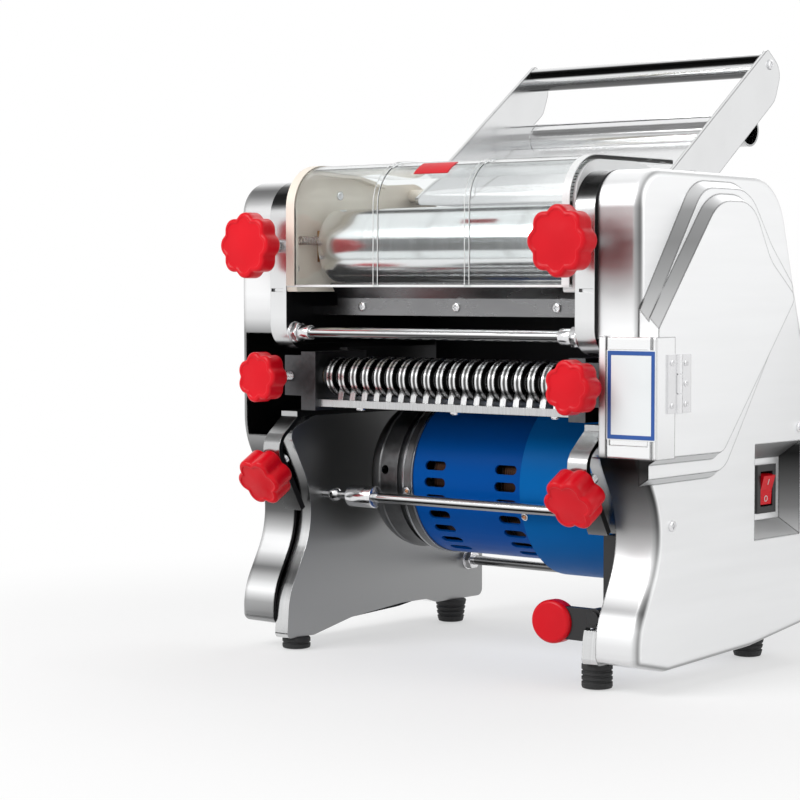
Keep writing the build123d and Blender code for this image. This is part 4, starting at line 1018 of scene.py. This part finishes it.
# name, tone, seen through the guard, seen elsewhere, corners in the layout
CARDS = [
    ("Upper card", 0.35, False, True, spanned(-1500, -300, (-920, 850), (-70, 1440))),
    ("Floor card", 0.01, False, True, spanned(-250, -10, (-170, 3), (-20, 3))),
    ("Rear card", 0.02, False, True, spanned(40, 300, (500, 60), (500, 260))),
    ("Roller card", 0.22, True, False, spanned(-400, -120, (-290, 205), (-290, 440))),
    ("Roller top card", 0.10, True, False, spanned(-1400, -300, (480, 1235), (800, 980))),
    ("Side card", 0.45, False, True, ((480, 700, 0), (900, 700, 0), (900, 700, 110), (480, 700, 60))),
]


def seen_directly(tree):
    """1 for camera, glossy and transmission rays, else 0."""
    path = add(tree, "LightPath").outputs
    either = work_out(tree, "MAXIMUM", path["Is Camera Ray"], path["Is Glossy Ray"])
    return work_out(tree, "MAXIMUM", either, path["Is Transmission Ray"])


def stage_sheet(name, corners, material):
    """Flat sheet of the stage between four points."""
    mesh = bpy.data.meshes.new(name)
    mesh.from_pydata(corners, [], [(0, 1, 2, 3)])
    mesh.materials.append(material)
    return add_object(name, mesh)


class SHEETER_OT_camera_and_stage(bpy.types.Operator):
    """Sets the camera, floor, room, cards and lamps"""

    bl_idname = "sheeter.camera_and_stage"
    bl_label = "Camera and Stage"

    def execute(self, context):
        scene = context.scene
        sizes = scene.sheeter.sizes
        scene.view_settings.view_transform = "Standard"
        lens = bpy.data.cameras.new("Camera")
        lens.lens = 105.75
        lens.sensor_width = 36
        lens.clip_end = 20
        camera = add_object("Camera", lens)
        camera.location = place(*CAMERA_PLACE)
        camera.rotation_euler = (CAMERA_TILT, 0, CAMERA_TURN)
        scene.camera = camera
        self.light_room(scene, sizes.room_light)
        self.lay_floor()
        for name, position, size, share in LAMPS:
            self.hang_lamp(name, place(*position), size, share * sizes.lamp_light)
        self.hang_cards()
        return {"FINISHED"}

    def light_room(self, scene, strength):
        """Even surroundings that camera, reflections and clear plastic see as white."""
        world = bpy.data.worlds.new("Room")
        scene.world = world
        world.use_nodes = True
        tree = world.node_tree
        tree.nodes.clear()
        room, white = [
            add(tree, "Background", {"Color": WHITE, "Strength": power}).outputs["Background"]
            for power in (strength, 1.0)
        ]
        mix = add(tree, "MixShader", {"Fac": seen_directly(tree), 1: room, 2: white})
        add(tree, "OutputWorld", {"Surface": mix.outputs["Shader"]})

    def lay_floor(self):
        """Pale floor that keeps a soft shadow near the machine and fades into the room's white."""
        material = surface("Pale floor", (0.88, 0.88, 0.88), roughness=0.9, specular_ior_level=0.1)
        tree = material.node_tree
        position = add(tree, "NewGeometry").outputs["Position"]
        distance = work_out(tree, "LENGTH", position, kind="VectorMath")
        fade = ranged(tree, distance, 0.28, 0.75, 0.5, 1.0, interpolation_type="SMOOTHSTEP")
        share = work_out(tree, "MULTIPLY", fade, seen_directly(tree))
        floor_light = shader_of(material).outputs["BSDF"]
        white = add(tree, "Emission").outputs["Emission"]
        mix = add(tree, "MixShader", {"Fac": share, 1: floor_light, 2: white})
        tree.links.new(mix.outputs["Shader"], tree.nodes["Material Output"].inputs["Surface"])
        turns = ((-1, -1), (1, -1), (1, 1), (-1, 1))
        corners = [(x * FLOOR_HALF, y * FLOOR_HALF, 0) for x, y in turns]
        floor = stage_sheet("Floor", corners, material)
        floor.location = (0, 0, FLOOR_Z)

    def hang_lamp(self, name, position, size, power):
        lamp = bpy.data.lights.new(name, "AREA")
        lamp.shape = "DISK"
        lamp.size = size
        lamp.energy = power
        obj = add_object(name, lamp)
        obj.location = position
        obj.rotation_euler = (place(*LAMP_TARGET) - position).to_track_quat("-Z", "Y").to_euler()

    def hang_cards(self):
        """Dark and grey cards that the bright metal mirrors as its bands."""
        for name, tone, through_guard, elsewhere, corners in CARDS:
            material = surface(name, (tone, tone, tone), roughness=0.9, specular_ior_level=0.0)
            card = stage_sheet(name, [place(*corner) for corner in corners], material)
            card.visible_camera = False
            card.visible_diffuse = False
            card.visible_shadow = False
            card.visible_glossy = elsewhere
            card.visible_transmission = through_guard


# ---- operators


class SHEETER_OT_finishes(bpy.types.Operator):
    """Gives every part of the machine its finish"""

    bl_idname = "sheeter.finishes"
    bl_label = "Finishes"

    def execute(self, context):
        finishes.update(make_finishes(context.scene.sheeter.colours))
        finish_of = {name: finish for finish, names in FINISH_OF.items() for name in names.split()}
        bare = sorted(set(nodes) - set(finish_of))
        if bare:
            raise RuntimeError(f"no finish for {bare}")
        for name, finish in finish_of.items():
            dress(nodes[name], finish)
        for obj in nodes.values():
            for polygon in obj.data.polygons:
                polygon.use_smooth = True
            obj.data.set_sharp_from_angle(angle=math.radians(32))
        return {"FINISHED"}


class SHEETER_OT_knobs(bpy.types.Operator):
    """Makes the six lobed hand knobs and their threaded studs"""

    bl_idname = "sheeter.knobs"
    bl_label = "Hand Knobs"

    def execute(self, context):
        sizes = context.scene.sheeter.sizes
        edge, crown = sizes.knob_edge / MM, sizes.knob_crown / MM
        for kind, style in KNOB_STYLES.items():
            for side, _ in SIDES:
                name = f"{side}_{kind}"
                body = f"{side}_{KNOB_BODIES[kind]}"
                matrix = knob_place(kind, side)
                values = (matrix, style, edge, crown)
                hand_knob = new_piece(f"{name}_hand_knob", "red", body, "red_plastic", 60, knob, *values)
                stud = (matrix, style["stud"], -HUB_DEPTH, -HUB_DEPTH - style["stud_length"])
                new_piece(f"{name}_stud", "zinc", body, "zinc_steel", None, thread, *stud)
                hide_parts(f"{name}_knob")
        return {"FINISHED"}


def machine_screws(shape):
    """Pan head in place of each plain screw head, facing away from what it holds."""
    for low, high in islands("machine_screws"):
        size = high - low
        axis = min(range(3), key=lambda index: size[index])
        outward = Vector((0, 0, 0))
        outward[axis] = 1 if axis == 0 and low.x > DATUM.x else -1
        seat = (low + high) / 2
        seat[axis] = low[axis] if outward[axis] > 0 else high[axis]
        pan_head(shape, aim(seat, outward), max(size) / MM / 2, size[axis] / MM)


def rod_nuts(shape):
    """Sleeves, nuts and washers of the tie rods, and the upper rod's two collars."""
    for low, high in islands("tie_rod_nuts"):
        middle, size = (low + high) / 2, (high - low) / MM
        matrix = aim(Vector((low.x, middle.y, middle.z)), (1, 0, 0))
        if size.x > LONGEST_NUT:
            turned(shape, matrix, sleeve_profile(size.x, size.y / 2, ROD_BORE), 56, True)
            continue
        height = size.x - WASHER_THICK
        washer_first = abs(low.x - DATUM.x) > abs(high.x - DATUM.x)
        nut(shape, raised(matrix, WASHER_THICK if washer_first else 0), NUT_ACROSS, height, ROD_BORE)
        washer = sleeve_profile(WASHER_THICK, WASHER_RADIUS, ROD_BORE, 0.3)
        turned(shape, matrix if washer_first else raised(matrix, height), washer, 56, True)
    for _, sign in SIDES:
        matrix = aim(place(sign * COLLAR_START, *UPPER_ROD), (-sign, 0, 0))
        turned(shape, matrix, sleeve_profile(COLLAR_LENGTH, COLLAR_RADIUS, ROD_BORE, 1.0), 56, True)


def motor_screws(shape, above, build, *values):
    """A form on each screw seat round the motor, at a height above the seat."""
    for x, radius, first in MOTOR_SCREWS:
        for quarter in range(4):
            angle = math.radians(first + 90 * quarter)
            out = Vector((0, -math.cos(angle), math.sin(angle)))
            seat = place(x, MOTOR[0] + radius * out.y, MOTOR[1] + radius * out.z)
            build(shape, aim(seat + out * above * MM, out), *values)


class SHEETER_OT_fasteners(bpy.types.Operator):
    """Makes the screws, nuts and sleeves, the hinge's screws and the motor's fixing screws"""

    bl_idname = "sheeter.fasteners"
    bl_label = "Screws and Nuts"

    def execute(self, context):
        zinc = ("zinc", "chassis", "zinc_steel")
        screws = new_piece("pan_head_screws", *zinc, 40, machine_screws)
        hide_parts("machine_screws")
        nuts = new_piece("rod_nuts_and_sleeves", *zinc, 32, rod_nuts)
        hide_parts("tie_rod_nuts")
        for name, body, seats in (
            ("fixed_leaf_screws", "chassis", FIXED_LEAF_SCREWS),
            ("moving_leaf_screws", "flap", MOVING_LEAF_SCREWS),
        ):
            new_piece(name, "zinc", body, "zinc_steel", 40, pan_heads, seats, (1, 0, 0), 2.3, 0.9)
        for side, sign in SIDES:
            seats = [(sign * CAP_FACE, y, z) for y, z in CAP_SCREWS]
            new_piece(f"{side}_cap_screws", *zinc, 40, pan_heads, seats, (-sign, 0, 0), 3.6, 1.3)
        collar = sleeve_profile(0.9, 2.9, 1.3, 0.35)
        new_piece("motor_screw_collars", *zinc, 40, motor_screws, 0, turned, collar, 28, True)
        copper = ("copper", "chassis", "bronze")
        new_piece("motor_screw_heads", *copper, 40, motor_screws, 0.5, pan_head, 1.5, 0.95)
        return {"FINISHED"}


# closed profiles round the motor's axis: radius, x
BELL_SHOULDER = (
    (40.0, -106.9), (40.0, -112.0), (46.0, -112.6), (51.5, -111.2), (55.0, -107.8), (57.2, -103.5),
    (58.5, -98.8), (58.6, -97.2), (57.9, -96.4), (56.5, -98.0), (50.0, -104.0), (44.0, -106.9),
)
BELL_RIM = (
    (55.5, -62.1), (55.5, -72.6), (60.1, -72.9), (60.8, -72.3), (60.8, -70.9), (60.3, -70.6),
    (60.3, -64.6), (60.8, -64.3), (61.3, -63.4), (61.3, -62.1),
)


class SHEETER_OT_motor(bpy.types.Operator):
    """Makes the windings seen through the vents and the machined rim of the end bell"""

    bl_idname = "sheeter.motor"
    bl_label = "Motor Details"

    def execute(self, context):
        axis = aim(place(0, *MOTOR), (1, 0, 0))
        for name, x0, x1 in WINDINGS:
            profile = winding_profile(x0, x1, *WINDING_RADII)
            new_piece(name, "winding", "chassis", "bronze", None, turned, axis, profile, 96, True)
        for name, finish, sharp, profile in (
            ("bell_shoulder", "cast", 50, BELL_SHOULDER),
            ("bell_rim", "bare cast", 30, BELL_RIM),
        ):
            new_piece(name, finish, "chassis", "cast_aluminium", sharp, turned, axis, profile, 128, True)
        return {"FINISHED"}


def guard_bead(shape):
    """Bead on the guard's lower edge, drawn in at its ends."""
    middle_y, middle_z = BEAD_MIDDLE
    inner = GUARD_HALF - 0.4
    rings = [
        [place(x, middle_y + (y - middle_y) * share, middle_z + (z - middle_z) * share) for y, z in BEAD]
        for x, share in ((-GUARD_HALF, 0.5), (-inner, 1), (inner, 1), (GUARD_HALF, 0.5))
    ]
    loft(shape, rings, capped=True)


def ribbed_feet(shape):
    """Moulded rubber feet with a ribbed skirt."""
    for low, high in islands("rubber_feet"):
        top, tall = (high.x - low.x) / 2 / MM, (high.z - low.z) / MM
        middle = Vector(((low.x + high.x) / 2, (low.y + high.y) / 2, low.z))
        tapered = tall > TALL_FOOT and top > WIDE_FOOT
        bottom = top * FOOT_TAPER if tapered else top
        profile = [(0, 0), (bottom - 2.2, 0), (bottom - 0.5, 0.5), (bottom, 1.8)]
        ribs = max(int(tall // FOOT_RIB_PITCH), 1)
        for rib in range(1, ribs + 1):
            at = 1.8 + (tall - 3.4) * rib / (ribs + 1)
            wide = bottom + (top - bottom) * at / tall
            profile += [(wide, at - 0.9), (wide - 0.8, at - 0.45)]
            profile += [(wide - 0.8, at + 0.45), (wide, at + 0.9)]
        profile += [(top, tall - 1.2), (top - 0.6, tall - 0.3), (top - 1.2, tall), (0, tall)]
        turned(shape, Matrix.Translation(middle), profile, 44)


class SHEETER_OT_trim(bpy.types.Operator):
    """Makes the label plate, switch marks, guard lines, roller springs and feet"""

    bl_idname = "sheeter.trim"
    bl_label = "Label, Marks and Trim"

    def execute(self, context):
        self.label(context.scene.sheeter.sizes.label_line / MM)
        self.switch_marks()
        self.guard_lines()
        for side, sign in SIDES:
            x, y, z = SPRING_PLACE
            matrix = aim(place(sign * x, y, z), (0, 1, 0))
            coil = coil_path(7, SPRING_RADIUS, SPRING_LENGTH)
            name = f"{side}_roller_spring"
            new_piece(name, "spring", "chassis", "zinc_steel", None, wire, matrix, coil, SPRING_WIRE)
        feet = new_piece("ribbed_feet", "rubber", "chassis", "rubber", 40, ribbed_feet)
        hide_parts("rubber_feet")
        return {"FINISHED"}

    def label(self, line):
        """Bare label plate over the flap's recess, with its printed border."""
        matrix = aim(place(LABEL_X, LABEL_BACK, LABEL_Z), (0, -1, 0))
        field = (matrix, LABEL_WIDTH, LABEL_HEIGHT, LABEL_THICK, 1.0)
        new_piece("label_plate", "label", "flap", "white_plastic", 40, plate, *field)
        width, height = LABEL_WIDTH - 2 * LABEL_MARGIN, LABEL_HEIGHT - 2 * LABEL_MARGIN
        printed = (raised(matrix, LABEL_THICK - 0.02), width, height, line, 0.07, 0.6)
        new_piece("label_border", "label edge", "flap", "blue_paint", 40, border, *printed)

    def switch_marks(self):
        """Ring for off and bar for on, each on its half of the rocker's face."""
        low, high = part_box("switch_rocker")
        ring = (sleeve_profile(0.3, 2.3, 1.75, 0.1), 40, True)
        bar = (4.4, 0.7, 0.3, 0.2, 0.05)
        for name, sunk, z, facing, build, values in (
            ("off_mark", 0.0036, 123.6, (0.998, 0, -0.057), turned, ring),
            ("on_mark", 0.0014, 136.1, (0.958, 0, -0.288), plate, bar),
        ):
            matrix = aim(Vector((high.x - sunk, (low.y + high.y) / 2, place(0, 0, z).z)), facing)
            new_piece(name, "marks", "power_rocker", "white_plastic", None, build, matrix, *values)

    def guard_lines(self):
        """White lines along the guard's ribs, its end borders, bare red plate and lower bead."""
        starts = [rib + edge for rib in (-RIB_X, RIB_X) for edge in (-RIB_LINE_OFF, RIB_LINE_OFF)]
        lines = [(x - RIB_LINE_HALF, x + RIB_LINE_HALF) for x in starts]
        skin, ribs = guard_path(GUARD_SKIN), guard_path(RIB_SKIN)
        bend = guard_arc(GUARD_SKIN, *GUARD_PLATE_TURN, 6)
        left, right = (-GUARD_HALF, LEFT_BORDER - GUARD_HALF), (GUARD_HALF - RIGHT_BORDER, GUARD_HALF)
        for name, finish, slot, path, spans, proud in (
            ("guard_rib_lines", "edge white", "white_plastic", ribs, lines, 0.18),
            ("left_guard_border", "cream", "cream_plastic", skin, [left], 0.5),
            ("right_guard_border", "edge white", "white_plastic", skin, [right], 0.5),
            ("guard_plate", "red", "red_plastic", bend, [GUARD_PLATE_X], 0.6),
        ):
            new_piece(name, finish, "chassis", slot, 40, strips_along, path, spans, proud)
        new_piece("guard_lower_bead", "edge white", "chassis", "white_plastic", 50, guard_bead)


class SHEETER_PT_panel(bpy.types.Panel):
    """Settings and pieces of the machine"""

    bl_idname = "SHEETER_PT_panel"
    bl_label = "Dough Sheeter"
    bl_space_type = "VIEW_3D"
    bl_region_type = "UI"
    bl_category = "Sheeter"

    def draw(self, context):
        settings = context.scene.sheeter
        for group in (settings.colours, settings.sizes):
            for name in group.bl_rna.properties.keys():
                if name not in ("rna_type", "name"):
                    self.layout.prop(group, name)
        for operator in OPERATORS:
            self.layout.operator(operator.bl_idname)


OPERATORS = [
    SHEETER_OT_camera_and_stage,
    SHEETER_OT_finishes,
    SHEETER_OT_knobs,
    SHEETER_OT_fasteners,
    SHEETER_OT_motor,
    SHEETER_OT_trim,
]
CLASSES = [SheeterColours, SheeterSizes, SheeterSettings, *OPERATORS, SHEETER_PT_panel]


def register():
    for cls in CLASSES:
        bpy.utils.register_class(cls)
    bpy.types.Scene.sheeter = bpy.props.PointerProperty(type=SheeterSettings)


def unregister():
    del bpy.types.Scene.sheeter
    for cls in reversed(CLASSES):
        bpy.utils.unregister_class(cls)


def main():
    register()
    bpy.ops.sheeter.camera_and_stage()
    bpy.ops.sheeter.finishes()
    bpy.ops.sheeter.knobs()
    bpy.ops.sheeter.fasteners()
    bpy.ops.sheeter.motor()
    bpy.ops.sheeter.trim()


if __name__ == "__main__":
    main()
